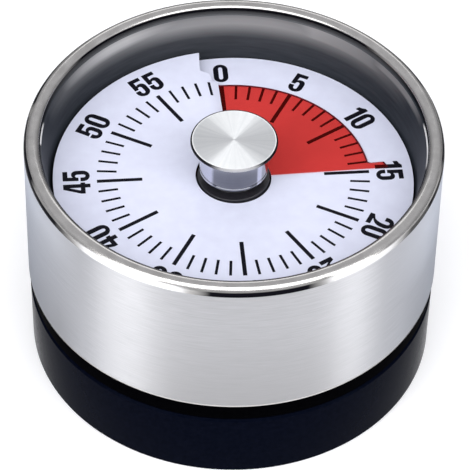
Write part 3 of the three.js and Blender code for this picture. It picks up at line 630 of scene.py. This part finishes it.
def region(**ramps):
    """A place on an object, as a ramp along each axis that matters.

    X is to the right, Y to the back, Z up from the floor and R out from the upright axis. A
    ramp is its stops of (millimetres, amount), and the place is where all of them agree.
    """
    return tuple(ramps.items())


def joined_by(nodes, links, operation, first, second):
    """Two sockets put through one arithmetic node."""
    node = nodes.new("ShaderNodeMath")
    node.operation = operation
    links.new(first, node.inputs[0])
    links.new(second, node.inputs[1])
    return node.outputs["Value"]


def shaded(made, shade, *regions, dull=False):
    """Paints painted light or painted shade into the colour over some regions, and can dull a metal
    there.
    """
    nodes, links = made.node_tree.nodes, made.node_tree.links
    surface = nodes["Principled BSDF"]
    colour = surface.inputs["Base Color"].links[0].from_socket
    split = nodes.new("ShaderNodeSeparateXYZ")
    links.new(nodes["Texture Coordinate"].outputs["Object"], split.inputs["Vector"])
    flat = nodes.new("ShaderNodeCombineXYZ")
    links.new(split.outputs["X"], flat.inputs["X"])
    links.new(split.outputs["Y"], flat.inputs["Y"])
    away = nodes.new("ShaderNodeVectorMath")
    away.operation = "LENGTH"
    links.new(flat.outputs["Vector"], away.inputs[0])
    along = {axis: split.outputs[axis] for axis in "XYZ"}
    along["R"] = away.outputs["Value"]
    share = None
    for ramps in regions:
        product = None
        for axis, stops in ramps:
            first, last = stops[0][0], stops[-1][0]
            spread = nodes.new("ShaderNodeMapRange")
            spread.inputs["From Min"].default_value = first * MM
            spread.inputs["From Max"].default_value = last * MM
            links.new(along[axis], spread.inputs["Value"])
            ramp = nodes.new("ShaderNodeValToRGB")
            links.new(spread.outputs["Result"], ramp.inputs["Fac"])
            elements = ramp.color_ramp.elements
            for stop in stops[1:-1]:
                elements.new((stop[0] - first) / (last - first))
            for element, (place, amount) in zip(elements, stops):
                element.color = (amount, amount, amount, 1)
            amount = ramp.outputs["Color"]
            product = joined_by(nodes, links, "MULTIPLY", product, amount) if product else amount
        share = joined_by(nodes, links, "MAXIMUM", share, product) if share else product
    blend = nodes.new("ShaderNodeMix")
    blend.data_type = "RGBA"
    links.new(share, blend.inputs["Factor"])
    links.new(colour, blend.inputs["A"])
    blend.inputs["B"].default_value = (*shade, 1)
    links.new(blend.outputs["Result"], surface.inputs["Base Color"])
    if dull:
        shine = surface.inputs["Metallic"]
        rest = nodes.new("ShaderNodeMath")
        rest.operation = "SUBTRACT"
        rest.inputs[0].default_value = 1
        links.new(share, rest.inputs[1])
        rest = rest.outputs["Value"]
        if shine.is_linked:
            rest = joined_by(nodes, links, "MULTIPLY", shine.links[0].from_socket, rest)
        links.new(rest, shine)
    return made


# ---------------------------------------------------------------- the can's steel
# The room that the metal and the gloss would reflect isn't known. So the can, the bead, the liner
# and the knob have painted highlights, painted reflections and painted shade: regions that are
# lighter or darker, and that stay fixed to the object.
can_front_foot_shade = region(
    Z=((17, 0.7), (24, 0.5), (40, 0)),
    X=((-27, 0), (-14, 1), (14, 1), (27, 0)),
)
can_left_foot_shade = region(
    Z=((20, 1), (26, 0.6), (34, 0)),
    X=((-39, 1), (-34, 0.8), (-30, 0)),
)
can_right_foot_shade = region(
    Z=((20, 0.6), (26, 0.35), (33, 0)),
    X=((29, 0), (33, 1), (39, 1)),
)
can_left_top_highlight = region(
    Z=((35, 0), (40, 0.35), (45, 1)),
    X=((-39, 1), (-34, 0.7), (-30, 0)),
)
can_right_top_highlight = region(
    Z=((31, 0), (36, 0.5), (43, 1)),
    X=((25, 0), (29, 0.4), (34, 1), (39, 1)),
)
brushed = turned(material(
    "brushed_steel", (0.42, 0.42, 0.432), (0.53, 0.53, 0.545),
    roughness=0.46, grain=(5, 5, 0.10), bump=0.25, metallic=1,
    Anisotropic=0.9, Anisotropic_Rotation=0.25, Specular_Tint=(0.68, 0.76, 0.9, 1),
))
# Painted shade: the brushed steel is darker towards its foot at the front and the sides.
shaded(brushed, (0.36, 0.355, 0.358), can_front_foot_shade, can_left_foot_shade, can_right_foot_shade)
# Painted highlights: the brushed steel is lighter near its top at the left and the right.
shaded(brushed, (0.66, 0.665, 0.69), can_left_top_highlight, can_right_top_highlight)

bead_front_glints = region(
    Z=((47.7, 0), (47.9, 1), (49.1, 1), (49.4, 0)),
    X=((-31, 0), (-28, 0.9), (-14, 0.9), (-11, 0), (12, 0), (15, 0.7), (24, 0.8), (30, 0)),
    Y=((-18, 1), (-16, 0)),
)
bead_front_dark_reflection = region(
    Z=((47.85, 0), (48.05, 1), (49.0, 1), (49.35, 0)),
    X=(
        (-39, 0.9), (-33, 0.9), (-29, 0), (-13, 0), (-9.5, 0.6), (-7.5, 1),
        (10, 1), (13, 0.5), (15, 0), (26, 0.1), (30, 0.9), (39, 0.9),
    ),
)
bead_side_dark_reflections = region(
    Z=((47.85, 0), (48, 1), (49.05, 1), (49.35, 0)),
    X=((-39, 1), (-34, 1), (-30, 0), (30, 0), (34, 1), (39, 1)),
)
bead_left_shade = region(
    R=((37.6, 0), (38.3, 1)),
    Z=((48, 1), (49.3, 1), (49.6, 0)),
    X=((-38.5, 0.6), (-34, 0.6), (-31, 0)),
    Y=((-24, 0), (-18, 1), (-8, 1), (-3, 0)),
)
bead_side_outline_reflections = region(
    R=((38.4, 0), (38.55, 1)),
    Z=((47, 0), (48.2, 1)),
    X=((-39, 1), (-36, 1), (-32, 0), (32, 0), (36, 1), (39, 1)),
    Y=((-16, 0), (-8, 1), (8, 1), (12, 0)),
)
bead_back_outline_reflection = region(
    R=((37.95, 0), (38.2, 1)),
    Z=((47, 0), (48.2, 1)),
    X=((-39, 1), (-34, 1), (-14, 0.15), (14, 0.15), (34, 1), (39, 1)),
    Y=((8, 0), (12, 1), (39, 1)),
)
bead_back_tip_reflection = region(
    R=((36, 1), (36.22, 1), (36.34, 0)),
    Y=((12, 0), (24, 1)),
)
polished = material(
    "polished_steel", (0.52, 0.51, 0.495), (0.62, 0.61, 0.595),
    roughness=0.2, grain=(3, 3, 0.5), bump=0.05, metallic=1,
    IOR=1.05, Specular_Tint=(0, 0, 0, 1),
)
# Painted highlights: dull near-white glints on the front of the bead.
shaded(polished, (0.85, 0.85, 0.87), bead_front_glints, dull=True)
# Painted reflections of dark surroundings: near-black lines along the bead's front and sides, dark
# outlines at its sides and back, and its dark tip at the back.
shaded(
    polished, (0.004, 0.004, 0.006), bead_front_dark_reflection, bead_side_dark_reflections, bead_left_shade,
    bead_side_outline_reflections, bead_back_outline_reflection, bead_back_tip_reflection, dull=True,
)


# ---------------------------------------------------------------- black plastics
liner_plastic = material(
    "liner_plastic", (0.012, 0.014, 0.024), (0.020, 0.023, 0.038),
    roughness=0.34, grain=(6, 6, 0.6), spread=0.03, bump=0.03, Specular_IOR_Level=0.4,
)
wall_back_reflection = region(
    Z=((39.5, 0.024), (43.2, 0.055), (44.6, 0.24), (46.2, 0.53), (47.3, 0.49), (48.1, 0.36)),
    Y=((10, 0), (34, 1)),
)
wall_left_reflection = region(
    Z=((44.8, 0), (46.4, 0.9), (47.3, 1), (48.1, 0.8)),
    X=((-33, 0), (-27, 0.65), (-22, 1), (-18, 1), (-12, 0.65), (-6, 0.4), (0, 0)),
    Y=((10, 0), (20, 1)),
)
wall_right_reflection = region(
    Z=((44.8, 0), (45.9, 0.9), (48.1, 1)),
    X=((8, 0), (18, 0.6), (25, 0.45), (28, 0.35), (32, 0)),
    Y=((3, 0), (10, 1)),
)
wall_far_right_reflection = region(
    Z=((46.3, 0), (47, 1), (48.1, 1)),
    X=((24, 0), (30, 0.38), (36, 0.32)),
    Y=((3, 0), (10, 1)),
)
liner_wall = material(
    "liner_wall", (0.016, 0.019, 0.025), (0.026, 0.030, 0.038),
    roughness=0.34, grain=(6, 6, 0.6), spread=0.03, bump=0.03, IOR=1.09,
)
# Painted reflections: lighter bands high on the liner's wall at the back, the left and the right.
shaded(liner_wall, (0.42, 0.42, 0.425), wall_back_reflection, wall_left_reflection, wall_right_reflection, wall_far_right_reflection)

lip_left_glint = region(
    X=((-36, 1), (-34, 0)),
    Y=((-4, 0), (-3, 0.03), (1.7, 0.03), (2.4, 1), (7, 1), (8, 0)),
)
lip_right_glint = region(
    X=((34, 0), (34.5, 1)),
    Y=((-9.5, 0), (-8, 0.5), (-3, 0.8), (1.5, 0.7), (3, 0)),
)
lip_back_light = region(Y=((10, 0), (30, 0.07)))
liner_lip = material(
    "liner_lip", (0.016, 0.019, 0.025), (0.026, 0.030, 0.038),
    roughness=0.3, grain=(6, 6, 0.6), spread=0.03, bump=0.03, IOR=1.2,
)
# Painted highlights: glints on the lip at the left and the right, and painted light along it at the
# back.
shaded(liner_lip, (0.85, 0.85, 0.86), lip_left_glint, lip_right_glint, lip_back_light)

# The rebate's face under the bead is darker than the liner, a painted shade, and lighter towards the
# back, painted light.
rebate_shade_and_light = material(
    "rebate_shade_and_light", (0.008, 0.009, 0.013), (0.012, 0.014, 0.019),
    roughness=0.5, grain=(0.8, 0.8, 0.8), bump=0.06, IOR=1.1,
)
shaded(rebate_shade_and_light, (0.07, 0.071, 0.078), region(Y=((10, 0), (22, 1))))

# Painted shadow: the liner's neck, in the groove under the can, is near black and hardly reflects.
groove_shadow_plastic = material(
    "groove_shadow_plastic", (0.0003, 0.0003, 0.0006), (0.0008, 0.0008, 0.0012),
    roughness=0.5, grain=(0.8, 0.8, 0.8), bump=0.06, IOR=1.02,
)
base_plastic = material(
    "base_plastic", (0.0008, 0.0014, 0.0045), (0.0018, 0.0026, 0.007),
    roughness=0.2, grain=(0.8, 0.8, 0.8), bump=0.06, IOR=1.05, Specular_Tint=(0.55, 0.7, 1, 1),
)
hub_plastic = material(
    "hub_plastic", (0.010, 0.010, 0.013), (0.020, 0.019, 0.024),
    roughness=0.35, grain=(0.3, 0.3, 0.3), spread=0.06, bump=0.15,
)


# ---------------------------------------------------------------- dial, print and film
dial_paint = material(
    "dial_paint", (0.65, 0.67, 0.815), (0.69, 0.715, 0.86),
    roughness=0.42, grain=(2.5, 2.5, 2.5), bump=0.05,
)
ink = material(
    "ink", (0.003, 0.003, 0.006), (0.006, 0.006, 0.011),
    roughness=0.5, grain=(0.2, 0.2, 0.2), spread=0.08, bump=0.2, Specular_IOR_Level=0.07,
)
film = tinted(material(
    "red_film", (0.60, 0.030, 0.022), (0.68, 0.040, 0.030),
    roughness=0.3, grain=(3, 3, 3), spread=0.06, bump=0.04, Specular_IOR_Level=0.2,
), (0.955, 0.51, 0.48), 0.045)
# Painted shade: the film's rim is a darker red for the look of its cut edge.
film_edge_shade = tinted(material(
    "red_film_edge", (0.10, 0.006, 0.014), (0.15, 0.010, 0.02),
    roughness=0.3, grain=(3, 3, 3), spread=0.06, bump=0.04, Specular_IOR_Level=0.3,
), (0.6, 0.2, 0.28), 0.5)


# ---------------------------------------------------------------- the knob's aluminium
neck_painted_reflections = region(
    X=((-6.6, 0.8), (-4.6, 0.8), (-4.1, 0), (3.8, 0), (4.1, 1), (4.7, 1), (5.0, 0.3), (6.6, 0.3)),
)
edge_front_highlight = region(
    X=((-5, 0), (-3, 0.8), (3, 0.8), (5, 0)),
    Y=((-9, 1), (-3, 0)),
)
spun_top = turned(rayed(material(
    "spun_aluminium", (0.91, 0.93, 0.94), (0.95, 0.965, 0.97),
    roughness=0.48, grain=(0.5, 0.5, 0.5), spread=0.03, bump=0.05, metallic=1,
    Anisotropic=0.86, Anisotropic_Rotation=0.25,
), (0.86, 0.88, 0.89), 40))
knob_flank = material(
    "knob_flank", (0.016, 0.020, 0.042), (0.04, 0.047, 0.085),
    roughness=0.2, grain=(8, 8, 0.18), bump=0.2, metallic=1,
    Coat_Weight=1, Coat_Roughness=0.05, Coat_IOR=2.2,
)
# Painted reflections: lighter bars on the cap's dark neck at the left and the right.
shaded(knob_flank, (0.6, 0.61, 0.72), neck_painted_reflections)
# Painted reflection: the cap's rim is near-black metal for the dark surroundings that it reflects, with
# painted light at its front.
knob_rim_dark_reflection = material(
    "knob_rim_dark_reflection", (0.012, 0.012, 0.016), (0.03, 0.03, 0.036),
    roughness=0.3, grain=(8, 8, 0.15), bump=0.15, metallic=1,
)
shaded(knob_rim_dark_reflection, (0.8, 0.8, 0.82), edge_front_highlight, dull=True)
# The bevel's dull near-white is partly the aluminium's colour and partly a painted highlight round the
# cap's edge.
knob_bevel_highlight = turned(material(
    "knob_bevel_highlight", (0.86, 0.87, 0.88), (0.94, 0.95, 0.96),
    roughness=0.4, grain=(8, 8, 0.15), bump=0.05, metallic=0.4,
))


# ---------------------------------------------------------------- clockwork and floor
plated = material(
    "plated_steel", (0.52, 0.52, 0.52), (0.62, 0.62, 0.61),
    roughness=0.28, grain=(0.8, 0.8, 0.8), spread=0.06, bump=0.08, metallic=1,
)
spring_steel = material(
    "spring_steel", (0.20, 0.22, 0.27), (0.33, 0.35, 0.40),
    roughness=0.3, grain=(1.5, 1.5, 0.2), spread=0.08, bump=0.2, metallic=1,
)
bell_steel = turned(material(
    "bell_steel", (0.48, 0.48, 0.50), (0.62, 0.62, 0.64),
    roughness=0.2, grain=(6, 6, 0.4), bump=0.1, metallic=1,
))
brass = material(
    "brass", (0.66, 0.47, 0.18), (0.76, 0.56, 0.23),
    roughness=0.32, grain=(8, 0.12, 0.12), bump=0.1, metallic=1,
)
acetal = material(
    "acetal", (0.62, 0.60, 0.54), (0.74, 0.72, 0.66),
    roughness=0.45, grain=(0.5, 0.5, 0.5), spread=0.06, bump=0.15,
)
magnet = material(
    "magnet", (0.30, 0.30, 0.31), (0.44, 0.44, 0.45),
    roughness=0.35, grain=(0.6, 0.6, 0.6), spread=0.1, bump=0.3, metallic=1,
)
floor_paint = material(
    "floor_paint", (0.86, 0.86, 0.87), (0.90, 0.90, 0.91), roughness=0.6, grain=(30, 30, 30),
    Emission_Color=(0.97, 0.98, 1, 1), Emission_Strength=0.2,
)

BY_SLOT = {
    "brushed_ring": brushed,
    "dark_liner": liner_plastic,
    "dial_white": dial_paint,
    "clear_red": film,
    "black_base": base_plastic,
    "spun_aluminium": spun_top,
    "plated_steel": plated,
    "spring_steel": spring_steel,
    "bell_steel": bell_steel,
    "brass": brass,
    "acetal": acetal,
    "magnet": magnet,
}


def finish_nodes():
    """Gives each CAD node the procedural material of its slot in the record."""
    slots = {part["node"]: part["material_slot"] for part in frame["record"]["subparts"]}
    for node, slot in slots.items():
        obj = frame["nodes"][node]
        obj.data.materials.clear()
        obj.data.materials.append(BY_SLOT[slot])


# ---------------------------------------------------------------- pieces
def rides(piece, body, slot=None, *nodes):
    """Attaches a piece to its body and hides the CAD nodes that it stands for; the slot is not used."""
    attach(piece, body)
    if nodes:
        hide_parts(*nodes)


def ring():
    """The rolled steel can: a plain wall whose top edge turns over and in."""
    inner = RING_RADIUS - RING_WALL
    half = RING_WALL / 2
    tip = [centre + reach for centre, reach in zip(BEAD_CENTRE, polar(BEAD_RADIUS - half, BEAD_TURN))]
    corner = (RING_RADIUS - RING_EDGE, RING_BOTTOM + RING_EDGE)
    profile = [(inner, RING_BOTTOM + RING_CHAMFER), (inner + RING_CHAMFER, RING_BOTTOM)]
    profile += bow(*corner, RING_EDGE, RING_EDGE, -90, 0, 5)
    profile += [(RING_RADIUS, BRUSHED_BOTTOM), (RING_RADIUS, BRUSHED_TOP)]
    profile += bow(*BEAD_CENTRE, BEAD_RADIUS, BEAD_RADIUS, 0, BEAD_TURN, 36)
    profile += bow(*tip, half, half, BEAD_TURN, BEAD_TURN + 180, 8)[1:-1]
    profile += bow(*BEAD_CENTRE, BEAD_RADIUS - RING_WALL, BEAD_RADIUS - RING_WALL, BEAD_TURN, 0, 18)

    def finish(height):
        return 0 if BRUSHED_BOTTOM < height < BRUSHED_TOP else 1

    piece = lathe("steel_ring", profile, brushed, polished, pick=finish)
    rides(piece, "housing", "brushed_ring", "outer_ring")


def liner():
    """The moulded case: the sloping wall round the dial, the deck below it and the neck.

    The CAD case's ledge under the dial isn't built here.
    """
    neck_bottom, neck_top = BASE_TOP + GAP, RING_BOTTOM - GAP
    outline = [
        (CASE_INNER, neck_bottom), (NECK_RADIUS, neck_bottom), (NECK_RADIUS, neck_top),
        (CASE_OUTER, neck_top), (CASE_OUTER, CASE_TOP), (MOUTH_RADIUS, CASE_TOP),
        WALL_FOOT, (DECK_EDGE, DECK_TOP), (DECK_HOLE, DECK_TOP),
        (DECK_HOLE, DECK_BOTTOM), (CASE_INNER, DECK_BOTTOM),
    ]
    finishes = (liner_plastic, liner_wall, groove_shadow_plastic, liner_lip, rebate_shade_and_light)
    inside, wall, neck, lip, flat = range(len(finishes))
    flat_bottom = CASE_TOP - 0.001
    lip_bottom = CASE_TOP - CASE_LIP
    wall_bottom = DECK_TOP + 1

    def finish(height):
        if height > flat_bottom:
            return flat
        if height > lip_bottom:
            return lip
        if height > wall_bottom:
            return wall
        return neck if height < RING_BOTTOM else inside

    bm = bmesh.new()
    add_lathe(bm, rounded(outline, 0.25), pick=finish)
    piece = mesh_object("case_liner", bm, *finishes)
    low = BOSS_MEETING + GAP
    carved(piece, "UNION", peg(CASE_BOSS, low, DECK_TOP - SEATED), SCREW_PLACES)
    carved(piece, "DIFFERENCE", peg(SCREW_HOLE, low - THROUGH, low + SCREW_DEPTH), SCREW_PLACES)
    hole = peg(SCREW_HOLE, DECK_BOTTOM - THROUGH, DECK_TOP + THROUGH)
    carved(piece, "DIFFERENCE", hole, PILLAR_PLACES)
    rides(piece, "housing", "dark_liner", "inner_case")


def dial():
    """The white dial: one turn of a shallow screw, slit at the 0 so that the disc can pass through."""
    first, last = SLIT_HALF - SLIT_BACK, 360 - SLIT_HALF - SLIT_BACK
    low, high = first - SLIT_STEP, last - SLIT_STEP
    angles = steps_between(low, first, 1)
    angles += steps_between(first, high, 1)[1:]
    angles += steps_between(high, last, 1)[1:]
    radii = steps_between(DIAL_HOLE, STEP_RADIUS - STEP_HALF, 3)
    step = len(radii) - 1
    bends = [STEP_RADIUS + STEP_HALF, SLIT_EDGE[1][0], SLIT_EDGE[2][0], DIAL_EDGE]
    for near, far in zip(bends, bends[1:]):
        radii += steps_between(near, far, 0.6)[:-1]
    radii.append(DIAL_EDGE)

    def kept(angle, band):
        if angle > high:
            return band < step
        return angle > first or band > step

    bm = bmesh.new()
    add_sheet(bm, angles, radii, dial_surface, DIAL_THICKNESS, kept, bend=slit_edge)
    rides(mesh_object("dial_face", bm, dial_paint), "housing", "dial_white", "dial_plate")


def dial_print():
    """The minute lines, the numerals at every fifth, and a zero line whose left part is painted slit
    shadow.
    """
    bm = bmesh.new()
    digits = digit_outlines()
    for minute in range(60):
        bearing = 6 * minute
        fifth = minute % 5 == 0
        inner, width = LONG_TICK if fifth else SHORT_TICK
        if minute:
            add_tick(bm, inner, width, bearing)
        if fifth:
            add_numeral(bm, str(minute), bearing, digits)
    inner, right = ZERO_LINE_AND_SLIT_SHADOW
    short_of_slit = 0.02
    slant = math.tan(math.radians(SLIT_BACK - SLIT_HALF - short_of_slit))
    outer = TICK_OUTER
    # Between the 0 and the slit this ink is painted shadow along the slit's edge.
    line = [(-slant * inner, inner), (right, inner), (right, outer), (-slant * outer, outer)]
    add_print(bm, [line], 0)
    rides(mesh_object("dial_print", bm, ink), "housing")


def disc():
    """The red film, which climbs the same screw as the dial, with its pointed tab at the front edge."""
    fine_start = TAB_ROOT - 0.5
    angles = steps_between(DISC_LEAD - DISC_SPAN, fine_start, 1)
    angles += steps_between(fine_start, DISC_LEAD, 0.1)[1:]

    def reach(angle):
        if angle < TAB_ROOT:
            return 0
        if angle < TAB_START:
            share = (angle - TAB_ROOT) / (TAB_START - TAB_ROOT)
            return TAB_ROUND * (1 - math.sqrt(1 - share ** 2))
        return TAB_REACH + TAB_SLANT * (angle - TAB_START) / (DISC_LEAD - TAB_START)

    def radii(angle):
        outer = DISC_OUTER + reach(angle)
        return steps_between(DIAL_HOLE, DISC_RADIUS - 2, 4) + [outer - DISC_RIM, outer]

    def finish(band):
        return int(band == rim)

    rim = len(radii(0)) - 2
    bm = bmesh.new()
    add_sheet(bm, angles, radii, disc_surface, DISC_THICKNESS, finish=finish)
    rides(mesh_object("red_film_disc", bm, film, film_edge_shade), "red_disc", "clear_red", "red_disc")


def cap():
    """The turned aluminium cap: a hollow neck that flares out under a thin flat top."""
    foot, top, radius = CAP_LOW.z, CAP_HIGH.z, CAP_HIGH.x
    bore, waist, throat = 5.15, 6.4, 7.0
    groove = waist - 0.12
    ceiling = top - 2.4
    start = foot + 0.2
    edge = top - 0.5 - (radius - throat)
    steps = 12
    cove = []
    for i in range(steps + 1):
        flare = (throat - waist) * (i / steps) ** 4
        cove.append((waist + flare, start + (edge - start) * i / steps))
    outline = [(bore, foot), (waist - 0.2, foot), (waist, start), (waist, foot + 0.5)]
    outline += [(groove, foot + 0.6), (groove, foot + 0.75)] + cove[2:]
    outline += [(radius, top - 0.5), (radius, top - 0.22), (radius - 0.06, top - 0.09)]
    outline += [(radius - 0.32, top - 0.03), (radius - 0.48, top)]
    outline += [(0, top), (0, ceiling), (bore, ceiling)]

    finishes = (spun_top, knob_flank, knob_rim_dark_reflection, knob_bevel_highlight)
    face, flank, rim, bevel = range(len(finishes))

    def finish(height):
        if height > top - 0.002:
            return face
        if height > top - 0.025:
            return bevel
        return flank if height < edge + 0.4 else rim

    piece = lathe("knob_top", outline, *finishes, pick=finish, sharp=20)
    rides(piece, "knob", "spun_aluminium", "knob_cap")


def hub():
    """The black core inside the cap, with the foot that shows round it, bored for the main arbor."""
    core, bore = 4.85, 1.9
    shoulder = HUB_LOW.z + 3.4
    socket = ARBOR_TOP + GAP
    outline = [(bore, HUB_LOW.z), (HUB_HIGH.x, HUB_LOW.z), (HUB_HIGH.x, shoulder)]
    outline += [(core, shoulder + 0.1), (core, HUB_HIGH.z), (0, HUB_HIGH.z)]
    outline += [(0, socket), (bore, socket)]
    rides(lathe("knob_hub", rounded(outline, 0.2), hub_plastic), "knob", "black_base", "knob_insert")


def base():
    """The black base: a shallow cup with its floor drilled for the screws and the magnets."""
    outer = BASE_RADIUS
    boss, boss_top = MIDDLE_BOSS
    profile = [
        (0, 0), (outer - 0.4, 0), (outer - 0.12, 0.28), (outer, BASE_TOP - 0.4), (outer - 0.4, BASE_TOP),
        (SPIGOT_OUTER, BASE_TOP), (SPIGOT_OUTER, SPIGOT_TOP), (SPIGOT_INNER, SPIGOT_TOP),
        (SPIGOT_INNER, WELL_SHOULDER), (WELL_RADIUS, WELL_TOP), (WELL_RADIUS, FLOOR_TOP),
        (boss, FLOOR_TOP), (boss, boss_top), (SCREW_HOLE, boss_top), (SCREW_HOLE, MIDDLE_PIT),
        (0, MIDDLE_PIT),
    ]
    bm = bmesh.new()
    add_lathe(bm, rounded(profile, 0.2))
    piece = mesh_object("base_cup", bm, base_plastic)
    carved(piece, "UNION", peg(BASE_BOSS, BASE_BOSS_FOOT, BOSS_MEETING), SCREW_PLACES)
    hole = peg(HEAD_HOLE, -THROUGH, HEAD_SEAT)[:-1]
    hole += peg(SCREW_HOLE, HEAD_SEAT, BOSS_MEETING + THROUGH)[1:]
    carved(piece, "DIFFERENCE", hole, SCREW_PLACES)
    pocket, depth = MAGNET_POCKET
    carved(piece, "DIFFERENCE", peg(pocket, -THROUGH, depth), MAGNET_PLACES)
    rides(piece, "housing", "black_base", "base_shell")


finish_nodes()
ring()
liner()
dial()
dial_print()
disc()
cap()
hub()
base()


# ---------------------------------------------------------------- floor, light and camera
FLOOR_RADIUS = 1500
DIAL_CENTRE = Vector((0, 0, DIAL_MIDDLE * MM))


def floor():
    """A wide pale disc, clear from below so that the underside can be looked at."""
    bm = bmesh.new()
    bmesh.ops.create_circle(bm, cap_ends=True, segments=96, radius=FLOOR_RADIUS)
    nodes, links = floor_paint.node_tree.nodes, floor_paint.node_tree.links
    side = nodes.new("ShaderNodeNewGeometry")
    mix = nodes.new("ShaderNodeMixShader")
    links.new(side.outputs["Backfacing"], mix.inputs["Fac"])
    links.new(nodes["Principled BSDF"].outputs["BSDF"], mix.inputs[1])
    links.new(nodes.new("ShaderNodeBsdfTransparent").outputs["BSDF"], mix.inputs[2])
    links.new(mix.outputs["Shader"], nodes["Material Output"].inputs["Surface"])
    mesh_object("floor", bm, floor_paint)


def toward(azimuth, elevation):
    """A direction from the object: azimuth turns from the front to the right, both in degrees."""
    turn, climb = math.radians(azimuth), math.radians(elevation)
    level = math.cos(climb)
    return Vector((math.sin(turn) * level, -math.cos(turn) * level, math.sin(climb)))


def softbox(name, azimuth, elevation, distance, width, height, radiance):
    """A rectangular light that faces the dial. Its distance and its size are in metres."""
    data = bpy.data.lights.new(name, "AREA")
    data.shape = "RECTANGLE"
    data.size, data.size_y = width, height
    data.energy = radiance * math.pi * width * height
    light = bpy.data.objects.new(name, data)
    direction = toward(azimuth, elevation)
    light.location = direction * distance + DIAL_CENTRE
    light.rotation_euler = direction.to_track_quat("Z", "Y").to_euler()
    bpy.context.scene.collection.objects.link(light)


def surroundings():
    """A studio that is dark near the horizon and paler overhead, and plain pale to the camera."""
    world = bpy.data.worlds.new("studio")
    bpy.context.scene.world = world
    world.use_nodes = True
    nodes, links = world.node_tree.nodes, world.node_tree.links
    place = nodes.new("ShaderNodeTexCoord")
    split = nodes.new("ShaderNodeSeparateXYZ")
    links.new(place.outputs["Generated"], split.inputs["Vector"])
    height = nodes.new("ShaderNodeMapRange")
    height.inputs["From Min"].default_value = -1
    links.new(split.outputs["Z"], height.inputs["Value"])
    ramp = nodes.new("ShaderNodeValToRGB")
    links.new(height.outputs["Result"], ramp.inputs["Fac"])
    below, overhead = ramp.color_ramp.elements
    below.color = (0.8, 0.8, 0.82, 1)
    overhead.color = (0.6, 0.6, 0.62, 1)
    for position, level in ((0.40, 0.75), (0.48, 0.30), (0.60, 0.36), (0.80, 0.62)):
        element = ramp.color_ramp.elements.new(position)
        element.color = (level, level, level * 1.04, 1)
    room = nodes["Background"]
    links.new(ramp.outputs["Color"], room.inputs["Color"])
    backdrop = nodes.new("ShaderNodeBackground")
    backdrop.inputs["Color"].default_value = (0.96, 0.96, 0.97, 1)
    rays = nodes.new("ShaderNodeLightPath")
    mix = nodes.new("ShaderNodeMixShader")
    links.new(rays.outputs["Is Camera Ray"], mix.inputs["Fac"])
    links.new(room.outputs["Background"], mix.inputs[1])
    links.new(backdrop.outputs["Background"], mix.inputs[2])
    links.new(mix.outputs["Shader"], nodes["World Output"].inputs["Surface"])


def camera():
    """A long lens at the photograph's viewing angle, aimed close to the middle of the dial."""
    azimuth, elevation = math.radians(-5.742), math.radians(44.729)
    pitch, yaw, roll = math.radians(-1.117), math.radians(-0.054), math.radians(1.299)
    distance = 569.72 * MM
    heading = Matrix.Rotation(azimuth, 3, "Z")
    basis = heading @ Matrix.Rotation(math.pi / 2 - elevation, 3, "X")
    aim = Matrix.Rotation(yaw, 3, "Y") @ Matrix.Rotation(pitch, 3, "X") @ Matrix.Rotation(roll, 3, "Z")
    data = bpy.data.cameras.new("camera")
    data.lens = 232.87
    data.sensor_width = 36
    obj = bpy.data.objects.new("camera", data)
    obj.matrix_world = (basis @ aim).to_4x4()
    obj.location = DIAL_CENTRE + basis @ Vector((0, 0, distance))
    bpy.context.scene.collection.objects.link(obj)
    bpy.context.scene.camera = obj


floor()
surroundings()
softbox("top_softbox", -5.7, 57, distance=1.0, width=1.5, height=0.65, radiance=2.72)
softbox("left_softbox", -56, 18, distance=1.0, width=0.42, height=0.9, radiance=4.5)
softbox("right_softbox", 54, 18, distance=1.0, width=0.28, height=0.9, radiance=5.2)
softbox("back_softbox", 174, 26, distance=1.2, width=0.6, height=0.4, radiance=1.1)
camera()
bpy.context.scene.view_settings.view_transform = "Standard"
